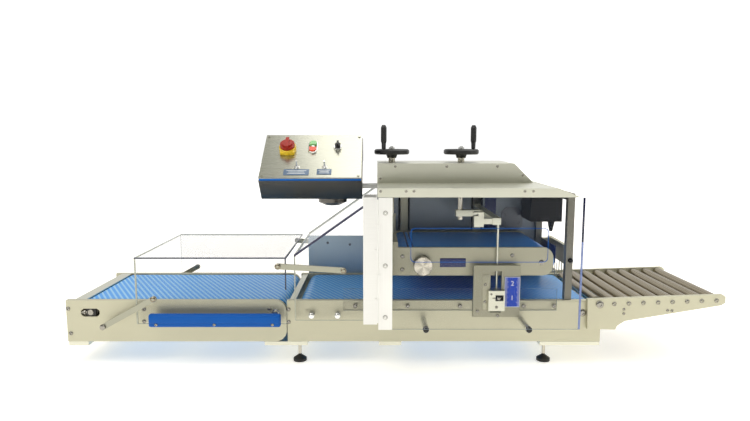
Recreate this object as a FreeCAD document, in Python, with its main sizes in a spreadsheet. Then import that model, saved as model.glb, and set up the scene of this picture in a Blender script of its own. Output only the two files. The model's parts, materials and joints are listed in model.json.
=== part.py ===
import FreeCAD, Part
import math
import os
import re
import Sketcher

# Bench-top horizontal slicer for cake bases: an infeed belt, a main belt with a height-adjustable
# belt above it, a height-adjustable blade across the belts and a folding roller track.
# Millimetres, +X along the flow of the product, +Y to the back, +Z up.
# The origin is on the floor, under the middle of the machine.

DIMENSIONS = [
    # Overall
    ("overall_length", 1912), ("base_height", 70), ("touch_gap", 0.3), ("shaft_play", 0.05),
    # Conveyor side plates
    ("infeed_length", 642), ("main_length", 915), ("plate_gap", 2), ("plate_height", 124),
    ("plate_thickness", 15), ("inner_width", 320), ("plate_corner", 34),
    # Belts and pulleys
    ("belt_thickness", 3), ("belt_drop", 2), ("pulley_radius", 32), ("pulley_side_play", 4),
    ("shaft_radius", 10), ("tail_setback", 70), ("infeed_drive_setback", 31), ("main_tail_setback", 62),
    ("main_drive_setback", 55), ("bed_thickness", 3), ("bed_flange", 34), ("take_up_slot_length", 55),
    ("take_up_slot_width", 24), ("take_up_block_length", 30), ("strip_width", 18),
    ("strip_thickness", 2), ("belt_side_play", 10),
    # Cross members and feet
    ("end_bar_inset", 22), ("end_bar_width", 33), ("end_bar_thickness", 3.5),
    ("foot_bar_thickness", 12), ("foot_pad_radius", 20), ("foot_pad_height", 8),
    ("foot_stem_radius", 5), ("foot_inset", 35), ("left_foot_offset", 31), ("right_foot_offset", 154),
    ("infeed_bar_length", 58), ("joint_bar_length", 126), ("middle_bar_length", 65),
    ("discharge_bar_length", 176), ("tie_width", 40), ("tie_height", 16), ("tie_lift", 6),
    # Clear infeed guard
    ("guard_left_inset", 216), ("guard_length", 431), ("guard_reach", 28), ("pane_thickness", 5),
    ("handle_length", 376), ("handle_height", 38), ("handle_depth", 22), ("handle_lift", 5),
    ("handle_inset", 39),
    # Links that carry the guard
    ("link_width", 16), ("link_thickness", 6), ("link_gap", 1), ("stud_radius", 4),
    ("stud_head_radius", 8.5), ("stud_head_height", 5), ("link_play", 0.08), ("rest_stud_x", 121),
    ("stay_pivot_x", 269), ("arm_pivot_x", 625), ("hood_pivot_x", 811), ("rest_notch_play", 0.3),
    # Fixed slanted hood
    ("hood_start", 25), ("hood_reach", 20), ("wall_thickness", 6),
    # Housing over the blade
    ("house_start", 263), ("house_length", 550), ("door_reach", 100), ("column_width", 38),
    ("column_wall", 2), ("ledge_length", 485), ("skirt_end", 544), ("box_length", 409),
    ("box_foot", 468), ("box_front", 192), ("box_depth", 208), ("sheet", 2), ("door_strip_width", 38),
    ("door_strip_thickness", 3), ("door_gap", 2), ("hinge_radius", 2), ("hinge_pin_radius", 1),
    ("hinge_stand", 1.7), ("hinge_leaf", 8), ("hinge_leaf_thickness", 2.5), ("post_size", 20),
    ("front_slot_x", 93), ("blade_slot_x", 344), ("wall_slot_width", 40), ("rear_cover_depth", 107),
    ("strip_bolt_radius", 5), ("strip_bolt_height", 4), ("post_inset", 5),
    # Upper belt unit
    ("unit_start", 43), ("unit_length", 470), ("unit_height", 83), ("unit_plate", 10),
    ("unit_corner", 30), ("unit_pulley_radius", 38), ("unit_pulley_inset", 42),
    ("unit_drive_inset", 34), ("unit_shaft_radius", 8), ("knob_radius", 28), ("knob_length", 26),
    ("knob_x", 89), ("unit_bridge_height", 16), ("nut_play", 0.1), ("nut_tube_height", 60), ("nut_tube_radius", 14),
    ("knob_screw_radius", 6), ("unit_belt_play", 3), ("riser_width", 24), ("riser_depth", 10),
    ("riser_foot", 40), ("riser_height", 165), ("carrier_foot", 100), ("carrier_size", 50),
    ("bridge_width", 28),
    # Blade carriage
    ("frame_start", 540), ("frame_width", 135), ("frame_height", 153), ("frame_thickness", 8),
    ("window_width", 32), ("window_inset", 49), ("slide_width", 47), ("slide_height", 60),
    ("slide_depth", 14), ("blade_thickness", 1.2), ("blade_width", 24), ("blade_play", 0.4),
    ("blade_stroke", 8), ("rod_radius", 3), ("rod_shift", 5), ("rod_offset", 10),
    ("carriage_arm_height", 20), ("carriage_arm_width", 24),
    # Scale, side guides
    ("scale_width", 44), ("scale_height", 89), ("scale_thickness", 3), ("guide_left_length", 375),
    ("guide_right_length", 107), ("guide_left_start", 164), ("guide_right_start", 676),
    # Handwheels and spindles
    ("wheel_radius", 55), ("wheel_rim", 16), ("wheel_lift", 24), ("spindle_radius", 10.5),
    ("screw_radius", 8), ("spindle_y", 25), ("left_spindle_x", 46), ("right_spindle_x", 265),
    ("grip_radius", 9), ("grip_length", 74), ("grip_pin_radius", 4), ("grip_reach", 38),
    ("left_grip_turn", 227), ("right_grip_turn", 0),
    # Standoff rods and screw heads
    ("door_rod_radius", 8.5), ("head_radius", 6), ("head_height", 4), ("hood_bolt_radius", 9),
    # Folding roller track
    ("track_pivot_inset", 10), ("track_slope", 1.93), ("track_plate", 12), ("roller_radius", 15),
    ("roller_pitch", 42.1), ("roller_bolt_radius", 5), ("track_tie_drop", 24), ("track_tie_radius", 6),
    ("pivot_head_radius", 9),
    # Discharge bar and motors
    ("bar_height", 60), ("bar_thickness", 12), ("bar_x", 853), ("bar_length", 180),
    ("blade_motor_x", 756), ("blade_motor_width", 100), ("blade_motor_depth", 120),
    ("blade_motor_height", 90), ("gearbox_size", 80), ("gearbox_depth", 60), ("gearbox_stand", 17),
    ("motor_radius", 28), ("motor_length", 86), ("wire_radius", 1.5), ("wire_drop", 40),
    ("nozzle_height", 34), ("nozzle_radius", 12),
    # Control box
    ("panel_width", 300), ("panel_height", 200), ("panel_depth", 72), ("panel_wall", 2),
    ("lid_thickness", 5), ("gasket_height", 8), ("panel_tilt", 38), ("panel_y", -130), ("swivel_y", 15),
    ("swivel_radius", 45), ("hub_radius", 24), ("swivel_pin_radius", 12), ("arm_lift", 1),
    ("arm_height", 14), ("arm_width", 50), ("swivel_drop", 54), ("swivel_flange", 12),
    ("switch_x", -76), ("switch_v", 125), ("switch_size", 52), ("switch_base", 16), ("switch_knob", 22),
    ("switch_knob_height", 18), ("button_v", 137), ("button_width", 29), ("button_spread", 27),
    ("bezel_height", 6), ("button_travel", 3), ("selector_x", 76), ("selector_radius", 13),
    ("selector_knob", 9), ("selector_height", 22), ("toggle_x", 41), ("toggle_v", 45),
    ("toggle_nut_radius", 8), ("toggle_nut_height", 6), ("toggle_length", 22), ("toggle_radius", 2.6),
    ("panel_gap", 45), ("swivel_reach", 141),
]

# Heights over the top edge of the conveyor side plates
HEIGHTS = [
    ("guard_bottom", -62), ("guard_top", 132), ("rest_stud_z", -69), ("stay_pivot_z", 13),
    ("arm_pivot_z", 108), ("hood_pivot_z", 96), ("hood_bottom", -54), ("hood_low_z", 139),
    ("hood_high_z", 306), ("rear_panel_top", 132), ("column_bottom", -39), ("cover_bottom", 311),
    ("ledge_height", 335), ("cover_height", 393), ("door_bottom", -54), ("wall_slot_bottom", 153),
    ("wall_slot_top", 301), ("rear_cover_bottom", -74), ("unit_bottom", 69), ("unit_belt_centre", 108),
    ("knob_z", 101), ("frame_bottom", -48), ("window_bottom", -34), ("window_top", 88),
    ("slide_bottom", -26), ("blade_level", 12), ("carriage_arm_z", 221), ("scale_bottom", -17),
    ("guide_strip_bottom", -29), ("guide_strip_top", 35), ("track_pivot_z", -8.5), ("bar_bottom", 73),
    ("panel_z", 354), ("hood_bolt_z", -40.4), ("door_rod_z", -58), ("guide_bolt_z", -16),
]

ROLLERS = 9
KNURLS = 24

doc = FreeCAD.newDocument("slicer")
sheet = doc.addObject("Spreadsheet::Sheet", "Sizes")
for row, (alias, value) in enumerate(DIMENSIONS + HEIGHTS, 1):
    sheet.set(f"A{row}", alias.replace("_", " "))
    sheet.set(f"B{row}", str(value))
    sheet.setAlias(f"B{row}", alias)
doc.recompute()

WORD = re.compile(r"\b[a-z][a-z0-9]*(?:_[a-z0-9]+)+\b|\bsheet\b")
SIZES = dict(DIMENSIONS)
LIFTED = dict(HEIGHTS)
PARTS = {}
LEFT_VALUE = -SIZES["overall_length"] / 2

# Places that several pieces share, worked out from the sheet
HALF = "(inner_width / 2 + plate_thickness)"
INNER = "(inner_width / 2)"
LEFT = "(-overall_length / 2)"
PLATE_TOP = "(base_height + plate_height)"
BELT_TOP = f"({PLATE_TOP} - belt_drop)"
PULLEY_Z = f"({BELT_TOP} - belt_thickness - pulley_radius)"
INFEED_END = f"({LEFT} + infeed_length)"
MAIN_START = f"({INFEED_END} + plate_gap)"
MAIN_END = f"({MAIN_START} + main_length)"
TAIL_X = f"({LEFT} + tail_setback)"
INFEED_DRIVE_X = f"({INFEED_END} - infeed_drive_setback)"
MAIN_TAIL_X = f"({MAIN_START} + main_tail_setback)"
MAIN_DRIVE_X = f"({MAIN_END} - main_drive_setback)"
BELT_EDGE = "(pulley_radius + belt_thickness)"
HOUSE_LEFT = f"({MAIN_START} + house_start)"
HOUSE_RIGHT = f"({HOUSE_LEFT} + house_length)"
DOOR_Y = f"(-{HALF} - door_reach)"
REAR_Y = f"({HALF} + rear_cover_depth)"
GUARD_Y = f"({HALF} + guard_reach)"
LINK_Y = f"({GUARD_Y} + link_gap)"
HEAD_Y = f"({LINK_Y} + link_thickness + touch_gap)"
HOOD_Y = f"({HALF} + hood_reach)"
HOOD_LEFT = f"({MAIN_START} + hood_start)"
WALL_Y = f"({HALF} - wall_thickness)"
UNIT_LEFT = f"({HOUSE_LEFT} + unit_start)"
UNIT_Y = f"({INNER} - 5)"
UNIT_TOP = "(unit_bottom + unit_height)"
FRAME_LEFT = f"({MAIN_START} + frame_start)"
WINDOW_LEFT = f"({FRAME_LEFT} + window_inset)"
WINDOW_MID = f"({WINDOW_LEFT} + window_width / 2)"
ARM_Z = "(cover_bottom + arm_lift)"
SWIVEL_X = f"({HOUSE_LEFT} - swivel_reach)"
PANEL_X = f"({HOUSE_LEFT} - panel_gap - panel_wall - panel_width / 2)"
BELT_WIDTH = "(inner_width - 2 * belt_side_play)"
UNIT_BELT_WIDTH = f"(2 * ({UNIT_Y} - unit_plate - unit_belt_play))"
POST_Y = f"({WALL_Y} - post_size)"
FRAME_Y = f"({HALF} + frame_thickness)"
TRACK_Y = f"({HALF} + touch_gap)"
PIVOT_X = f"({MAIN_END} - track_pivot_inset)"
LEFT_SPINDLE = f"({HOUSE_LEFT} + left_spindle_x)"
RIGHT_SPINDLE = f"({HOUSE_LEFT} + right_spindle_x)"
ARM_Y = f"({UNIT_Y} + rod_offset)"


def bound(text):
    """Turn the sheet's names in a formula into references to its cells; heights count from the plates' top."""
    def cell(match):
        name = match.group(0)
        if name in LIFTED:
            return f"(Sizes.base_height + Sizes.plate_height + Sizes.{name})"
        return f"Sizes.{name}"
    return WORD.sub(cell, str(text))


def bind(thing, **values):
    for path, text in values.items():
        thing.setExpression(path.replace("__", "."), bound(text))
    return thing


def place(thing, x=0, y=0, z=0):
    return bind(thing, Placement__Base__x=x, Placement__Base__y=y, Placement__Base__z=z)


def box(low, size):
    solid = doc.addObject("Part::Box", "Block")
    bind(solid, Length=size[0], Width=size[1], Height=size[2])
    return place(solid, *low)


TURNS = {"X": ((0, 1, 0), 90), "Y": ((1, 0, 0), -90), "Z": ((0, 0, 1), 0)}


def rod(start, axis, radius, length):
    """A round bar from start along an axis."""
    solid = doc.addObject("Part::Cylinder", "Rod")
    direction, angle = TURNS[axis]
    solid.Placement = FreeCAD.Placement(FreeCAD.Vector(), FreeCAD.Rotation(FreeCAD.Vector(*direction), angle))
    bind(solid, Radius=radius, Height=length)
    return place(solid, *start)


def both_sides(radius, x, z, y, length):
    """A round bar along Y at the front and its twin at the back, y from the centre line outwards."""
    return [rod((x, f"-({y}) - ({length})", z), "Y", radius, length), rod((x, y, z), "Y", radius, length)]


def fused(*solids):
    if len(solids) == 1:
        return solids[0]
    result = doc.addObject("Part::MultiFuse", "Joined")
    result.Shapes = list(solids)
    return result


def cut(base, *tools):
    result = doc.addObject("Part::Cut", "Trimmed")
    result.Base = base
    result.Tool = fused(*tools)
    return result


def group(*solids, alone=True):
    """Several solids as one piece; a single one keeps its own place unless it is wrapped too."""
    if alone and len(solids) == 1:
        return solids[0]
    result = doc.addObject("Part::Compound", "Set")
    result.Links = list(solids)
    return result


def part(name, *solids):
    """Record a sub-part: its label names its file."""
    thing = group(*solids)
    thing.Label = name
    PARTS[name] = thing
    return thing


def plane(body, role):
    return next(item for item in body.Origin.OriginFeatures if item.Role == role)


def sketch_on(body, role):
    sketch = body.newObject("Sketcher::SketchObject", "Outline")
    sketch.AttachmentSupport = (plane(body, role), "")
    sketch.MapMode = "FlatFace"
    return sketch


def draw(sketch, points):
    """A closed outline whose corners are fixed by formulas."""
    count = len(points)
    for index in range(count):
        turn = 2 * math.pi * index / count
        after = 2 * math.pi * (index + 1) / count
        sketch.addGeometry(Part.LineSegment(
            FreeCAD.Vector(9 * math.cos(turn), 9 * math.sin(turn), 0),
            FreeCAD.Vector(9 * math.cos(after), 9 * math.sin(after), 0)), False)
    for index in range(count):
        sketch.addConstraint(Sketcher.Constraint("Coincident", index, 2, (index + 1) % count, 1))
    for index, (across, along) in enumerate(points):
        for kind, text in (("DistanceX", across), ("DistanceY", along)):
            number = sketch.addConstraint(Sketcher.Constraint(kind, -1, 1, index, 1, 1.0))
            sketch.setExpression(f"Constraints[{number}]", bound(text))


def prism(points, start, length, role="XZ_Plane"):
    """An outline in the X-Z plane, made solid from y = start towards the back."""
    body = doc.addObject("PartDesign::Body", "Body")
    sketch = sketch_on(body, role)
    draw(sketch, points)
    pad = body.newObject("PartDesign::Pad", "Pad")
    pad.Profile = sketch
    pad.Reversed = role == "XZ_Plane"
    bind(pad, Length=length)
    doc.recompute()
    if role == "XZ_Plane":
        place(body, y=start)
    else:
        place(body, x=start)
    return body


def round_edges(body, chosen, radius):
    """Round the upright edges of the last feature that the test picks."""
    doc.recompute()
    base = body.Tip
    names = [f"Edge{number}" for number, edge in enumerate(base.Shape.Edges, 1) if chosen(edge)]
    fillet = body.newObject("PartDesign::Fillet", "Rounded")
    fillet.Base = (base, names)
    bind(fillet, Radius=radius)
    body.Tip = fillet
    doc.recompute()
    return body


def along_y(edge):
    ends = [vertex.Point for vertex in edge.Vertexes]
    return len(ends) == 2 and abs(ends[0].x - ends[1].x) < 1e-6 and abs(ends[0].z - ends[1].z) < 1e-6


def drill(body, holes, role="XZ_Plane"):
    """Round holes right through a plate; each hole is (across, along, radius)."""
    sketch = sketch_on(body, role)
    for index, (across, along, radius) in enumerate(holes):
        sketch.addGeometry(Part.Circle(FreeCAD.Vector(index * 9, 0, 0), FreeCAD.Vector(0, 0, 1), 2), False)
        for kind, text in (("DistanceX", across), ("DistanceY", along)):
            number = sketch.addConstraint(Sketcher.Constraint(kind, -1, 1, index, 3, 1.0))
            sketch.setExpression(f"Constraints[{number}]", bound(text))
        number = sketch.addConstraint(Sketcher.Constraint("Radius", index, 2.0))
        sketch.setExpression(f"Constraints[{number}]", bound(radius))
    pocket = body.newObject("PartDesign::Pocket", "Holes")
    pocket.Profile = sketch
    pocket.Type = "ThroughAll"
    body.Tip = pocket
    doc.recompute()
    return body


def turned(points, axis="Z"):
    """A half outline of (radius, height) points turned about an axis."""
    body = doc.addObject("PartDesign::Body", "Turned")
    sketch = sketch_on(body, "XZ_Plane")
    draw(sketch, points)
    spin = body.newObject("PartDesign::Revolution", "Spin")
    spin.Profile = sketch
    spin.ReferenceAxis = (sketch, ["V_Axis"])
    doc.recompute()
    direction, angle = TURNS[axis]
    body.Placement = FreeCAD.Placement(FreeCAD.Vector(), FreeCAD.Rotation(FreeCAD.Vector(*direction), angle))
    return body


def loop(start_x, end_x, centre_z, inner, thickness, width):
    """A belt round two pulleys: an outer stadium less an inner one."""
    def stadium(radius, reach):
        ends = [rod((x, f"-({width}) / 2 - {reach}", centre_z), "Y", radius, f"{width} + 2 * {reach}")
                for x in (start_x, end_x)]
        middle = box((start_x, f"-({width}) / 2 - {reach}", f"{centre_z} - ({radius})"),
                     (f"{end_x} - {start_x}", f"{width} + 2 * {reach}", f"2 * ({radius})"))
        return fused(middle, *ends)
    return cut(stadium(f"{inner} + {thickness}", 0), stadium(inner, 1))


def pulley(name, x, z, radius, half_length, shaft, half_shaft, rear_shaft=None):
    drum = turned([(0, f"-({half_shaft})"), (shaft, f"-({half_shaft})"), (shaft, f"-({half_length})"),
                   (radius, f"-({half_length})"), (radius, half_length), (shaft, half_length),
                   (shaft, rear_shaft or half_shaft), (0, rear_shaft or half_shaft)], "Y")
    place(drum, x=x, z=z)
    return part(name, drum)


def infeed_side_plates():
    plates = []
    for start in (f"-{HALF}", INNER):
        plate = prism([(LEFT, "base_height"), (INFEED_END, "base_height"), (INFEED_END, PLATE_TOP),
                       (LEFT, PLATE_TOP)], start, "plate_thickness")
        right = LEFT_VALUE + SIZES["infeed_length"]
        round_edges(plate, lambda edge: along_y(edge) and edge.BoundBox.XMin > right - 1, "plate_corner")
        drill(plate, [(INFEED_DRIVE_X, PULLEY_Z, "shaft_radius + shaft_play")])
        slot = box((f"{TAIL_X} - take_up_slot_length / 2", start, f"{PULLEY_Z} - take_up_slot_width / 2"),
                   ("take_up_slot_length", "plate_thickness", "take_up_slot_width"))
        plates.append(cut(plate, slot))
    part("infeed_side_plates", *plates)


def main_side_plates():
    plates = []
    for start in (f"-{HALF}", INNER):
        plate = prism([(MAIN_START, "base_height"), (MAIN_END, "base_height"), (MAIN_END, PLATE_TOP),
                       (MAIN_START, PLATE_TOP)], start, "plate_thickness")
        drill(plate, [(MAIN_TAIL_X, PULLEY_Z, "shaft_radius + shaft_play"),
                      (MAIN_DRIVE_X, PULLEY_Z, "shaft_radius + shaft_play"),
                      (PIVOT_X, "track_pivot_z", "roller_bolt_radius + shaft_play")])
        window = box((WINDOW_LEFT, start, "window_bottom"),
                     ("window_width", "plate_thickness", f"{PLATE_TOP} - window_bottom"))
        plates.append(cut(plate, window))
    part("main_side_plates", *plates)


def take_up_blocks():
    """Sliding blocks in the slots at the infeed end, each with its tension screw."""
    blocks = []
    for start in (f"-{HALF}", INNER):
        block = box((f"{TAIL_X} - take_up_block_length / 2", start, f"{PULLEY_Z} - take_up_slot_width / 2"),
                    ("take_up_block_length", "plate_thickness", "take_up_slot_width"))
        bore = rod((TAIL_X, start, PULLEY_Z), "Y", "unit_shaft_radius + shaft_play", "plate_thickness")
        screw = rod((f"{TAIL_X} - take_up_slot_length / 2", f"{start} + plate_thickness / 2", PULLEY_Z), "X",
                    "stud_radius", "(take_up_slot_length - take_up_block_length) / 2")
        blocks += [cut(block, bore), screw]
    return blocks


def cross_members():
    bar = box((f"{LEFT} + end_bar_inset", f"-{INNER}", f"{PLATE_TOP} - end_bar_thickness"),
              ("end_bar_width", "inner_width", "end_bar_thickness"))
    flats = [(f"{LEFT} + 2", "infeed_bar_length"), (f"{INFEED_END} - joint_bar_length / 2 - 3", "joint_bar_length"),
             (f"{HOUSE_LEFT} + 5", "middle_bar_length"),
             (f"{MAIN_END} - discharge_bar_length", "discharge_bar_length")]
    bars = [box((start, f"-{HALF}", "base_height - foot_bar_thickness"),
                (length, f"2 * {HALF}", "foot_bar_thickness")) for start, length in flats]
    ties = [box((x, f"-{INNER}", "base_height + tie_lift"), ("tie_width", "inner_width", "tie_height"))
            for x in (f"{LEFT} + 300", f"{MAIN_START} + 200", f"{MAIN_START} + 500")]
    part("cross_members", bar, *bars, *ties)


def levelling_feet():
    feet = []
    for x in (f"{MAIN_START} + left_foot_offset", f"{MAIN_END} - right_foot_offset"):
        for y in (f"-{HALF} + foot_inset", f"{HALF} - foot_inset"):
            top = "(base_height - foot_bar_thickness)"
            foot = turned([(0, 0), ("foot_pad_radius", 0), ("foot_pad_radius", "foot_pad_height"),
                           ("foot_stem_radius + 4", "2 * foot_pad_height"),
                           ("foot_stem_radius", "2 * foot_pad_height + 2"),
                           ("foot_stem_radius", f"{top} - foot_pad_height"),
                           ("2 * foot_stem_radius", f"{top} - foot_pad_height"), ("2 * foot_stem_radius", top),
                           (0, top)])
            feet.append(place(foot, x, y))
    part("levelling_feet", *feet)


def conveyor_beds():
    pieces = []
    for start, end in ((TAIL_X, INFEED_DRIVE_X), (MAIN_TAIL_X, MAIN_DRIVE_X)):
        low = f"({BELT_TOP} - belt_thickness - bed_thickness)"
        left = f"({start} + {BELT_EDGE} + 3)"
        length = f"{end} - {start} - 2 * {BELT_EDGE} - 6"
        top = box((left, f"-{INNER}", low), (length, "inner_width", "bed_thickness"))
        sides = [box((left, y, f"{low} - bed_flange"), (length, "bed_thickness", "bed_flange"))
                 for y in (f"-{INNER}", f"{INNER} - bed_thickness")]
        pieces.append(fused(top, *sides))
    middle = f"(({INFEED_DRIVE_X} + {MAIN_TAIL_X}) / 2)"
    top = box((f"{middle} - strip_width / 2", f"-{INNER}", f"{BELT_TOP} - strip_thickness"),
              ("strip_width", "inner_width", "strip_thickness"))
    web = box((f"{middle} - strip_thickness", f"-{INNER}", "base_height + 40"),
              ("2 * strip_thickness", "inner_width", f"{BELT_TOP} - strip_thickness - base_height - 40"))
    part("conveyor_beds", *pieces, fused(top, web))


def conveyors():
    part("infeed_belt", loop(TAIL_X, INFEED_DRIVE_X, PULLEY_Z, "pulley_radius", "belt_thickness", BELT_WIDTH))
    part("main_belt", loop(MAIN_TAIL_X, MAIN_DRIVE_X, PULLEY_Z, "pulley_radius", "belt_thickness", BELT_WIDTH))
    drum = f"({INNER} - pulley_side_play)"
    shaft_end = f"({HALF} - 1)"
    radius = "(pulley_radius - touch_gap)"
    pulley("infeed_tail_pulley", TAIL_X, PULLEY_Z, radius, drum, "unit_shaft_radius", shaft_end)
    pulley("infeed_drive_pulley", INFEED_DRIVE_X, PULLEY_Z, radius, drum, "shaft_radius", shaft_end)
    pulley("main_tail_pulley", MAIN_TAIL_X, PULLEY_Z, radius, drum, "shaft_radius", shaft_end)
    pulley("main_drive_pulley", MAIN_DRIVE_X, PULLEY_Z, radius, drum, "shaft_radius", shaft_end,
           f"{HALF} + gearbox_stand + gearbox_depth")


GUARD_LEFT = f"({LEFT} + guard_left_inset)"
GUARD_RIGHT = f"({GUARD_LEFT} + guard_length)"


def infeed_guard():
    panes = [prism([(GUARD_LEFT, "guard_bottom"), (GUARD_RIGHT, "guard_bottom"), (GUARD_RIGHT, "guard_top"),
                    (GUARD_LEFT, "guard_top")], start, "pane_thickness")
             for start in (f"-{GUARD_Y}", f"{GUARD_Y} - pane_thickness")]
    holes = [hole for x, z in ((f"{LEFT} + stay_pivot_x", "stay_pivot_z"), (f"{LEFT} + arm_pivot_x", "arm_pivot_z"))
             for hole in both_sides("stud_radius + link_play", x, z, f"{GUARD_Y} - pane_thickness",
                                    "pane_thickness")]
    top = box((GUARD_LEFT, f"-{GUARD_Y} + pane_thickness", "guard_top - pane_thickness"),
              ("guard_length", f"2 * {GUARD_Y} - 2 * pane_thickness", "pane_thickness"))
    part("infeed_guard", cut(fused(top, *panes), *holes))


def guard_handle():
    y = f"-{GUARD_Y} - handle_depth"
    bar = box((f"{GUARD_LEFT} + handle_inset", y, "guard_bottom - handle_lift"),
              ("handle_length", "handle_depth", "handle_height"))
    part("guard_handle", bar)


def studs(places):
    """Shouldered studs through the links at the front and the back, with domed heads outside."""
    pieces = []
    for (x, z), inner in places:
        for sign in (-1, 1):
            stud = turned([(0, inner), ("stud_radius", inner), ("stud_radius", HEAD_Y),
                           ("stud_head_radius", HEAD_Y), ("stud_head_radius", f"{HEAD_Y} + stud_head_height - 2"),
                           ("stud_head_radius - 3", f"{HEAD_Y} + stud_head_height"),
                           (0, f"{HEAD_Y} + stud_head_height")], "Y")
            if sign < 0:
                stud.Placement.Rotation = FreeCAD.Rotation(FreeCAD.Vector(1, 0, 0), 90)
            pieces.append(place(stud, x, 0, z))
    return pieces


def link(start, end, notch=False):
    """A flat bar between two pivots at the front and its twin at the back."""
    (x0, z0), (x1, z1) = start, end
    run = f"sqrt(({x1} - ({x0})) ^ 2 + ({z1} - ({z0})) ^ 2)"
    lean = f"atan2({z1} - ({z0}); {x1} - ({x0}))"
    bars = []
    for y in (f"-{LINK_Y} - link_thickness", LINK_Y):
        bar = fused(box((0, 0, "-link_width / 2"), (run, "link_thickness", "link_width")),
                    rod((0, 0, 0), "Y", "link_width / 2", "link_thickness"),
                    rod((run, 0, 0), "Y", "link_width / 2", "link_thickness"))
        if notch:
            seat = "(stud_radius + rest_notch_play)"
            bar = cut(bar, rod((0, 0, 0), "Y", seat, "link_thickness"),
                      box(("-link_width", 0, "-2 * link_width"),
                          (f"link_width + {seat}", "link_thickness", "2 * link_width")),
                      box(("-link_width", 0, 0), ("link_width", "link_thickness", seat)))
        bar.Placement = FreeCAD.Placement(FreeCAD.Vector(), FreeCAD.Rotation(FreeCAD.Vector(0, -1, 0), 10))
        bind(bar, Placement__Rotation__Angle=lean)
        bars.append(place(bar, x0, y, z0))
    return bars


REST = (f"{LEFT} + rest_stud_x", "rest_stud_z")
STAY = (f"{LEFT} + stay_pivot_x", "stay_pivot_z")
ARM = (f"{LEFT} + arm_pivot_x", "arm_pivot_z")
HOOD_PIVOT = (f"{LEFT} + hood_pivot_x", "hood_pivot_z")


def guard_links():
    guard_face = f"{GUARD_Y} - pane_thickness"
    part("guard_stays", fused(*link(REST, STAY, notch=True), *studs([(STAY, guard_face)])))
    part("guard_arms", fused(*link(HOOD_PIVOT, ARM),
                             *studs([(ARM, guard_face), (HOOD_PIVOT, f"{HOOD_Y} - pane_thickness")])))


HOOD_BOLTS = [f"{MAIN_START} + 73", f"{MAIN_START} + 148"]


def slanted_hood():
    right = f"({HOUSE_LEFT} - 2)"
    panes = [prism([(HOOD_LEFT, "hood_bottom"), (right, "hood_bottom"), (right, "hood_high_z"),
                    (HOOD_LEFT, "hood_low_z")], start, "pane_thickness")
             for start in (f"-{HOOD_Y}", f"{HOOD_Y} - pane_thickness")]
    slope = prism([(HOOD_LEFT, "hood_low_z - 6"), (right, "hood_high_z - 6"), (right, "hood_high_z"),
                   (HOOD_LEFT, "hood_low_z")], f"-{HOOD_Y}", f"2 * {HOOD_Y}")
    joined = fused(slope, *panes)
    holes = both_sides("stud_radius + link_play", *HOOD_PIVOT, f"{HOOD_Y} - pane_thickness", "pane_thickness")
    holes += [hole for x in HOOD_BOLTS
              for hole in both_sides("hood_bolt_radius", x, "hood_bolt_z", f"{HOOD_Y} - pane_thickness",
                                     "pane_thickness")]
    part("slanted_hood", cut(joined, *holes))


def rear_panels():
    wall = box((HOUSE_LEFT, WALL_Y, PLATE_TOP),
               ("house_length", "wall_thickness", f"cover_bottom - {PLATE_TOP}"))
    slots = [box((f"{HOUSE_LEFT} + {x} - wall_slot_width / 2", WALL_Y, "wall_slot_bottom"),
                 ("wall_slot_width", "wall_thickness", "wall_slot_top - wall_slot_bottom"))
             for x in ("front_slot_x", "blade_slot_x")]
    window = box((WINDOW_LEFT, WALL_Y, PLATE_TOP),
                 ("window_width", "wall_thickness", f"window_top - {PLATE_TOP}"))
    side = box((HOOD_LEFT, WALL_Y, PLATE_TOP),
               (f"{HOUSE_LEFT} - 1 - {HOOD_LEFT}", "wall_thickness", f"rear_panel_top - {PLATE_TOP}"))
    part("rear_panels", cut(wall, *slots, window), side)


HINGE_X = f"({HOUSE_LEFT} + 0.5)"
HINGE_Y = f"({DOOR_Y} - door_strip_thickness - hinge_stand)"
HINGE_LOW = "(column_bottom + 5)"
HINGE_STEP = "((cover_bottom - column_bottom - 10) / 5)"


def hinge_knuckles(turns, side, bore):
    """The knuckles of the long door hinge that belong to one leaf, each with its leaf."""
    pieces = []
    for index in turns:
        low = f"{HINGE_LOW} + {index} * {HINGE_STEP} + touch_gap"
        length = f"{HINGE_STEP} - 2 * touch_gap"
        barrel = rod((HINGE_X, HINGE_Y, low), "Z", "hinge_radius", length)
        start = HINGE_X if side > 0 else f"{HINGE_X} - hinge_leaf"
        leaf = box((start, f"{DOOR_Y} - door_strip_thickness - hinge_leaf_thickness", low),
                   ("hinge_leaf", "hinge_leaf_thickness", length))
        pieces.append(cut(fused(barrel, leaf), rod((HINGE_X, HINGE_Y, low), "Z", bore, length)))
    return pieces


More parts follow.
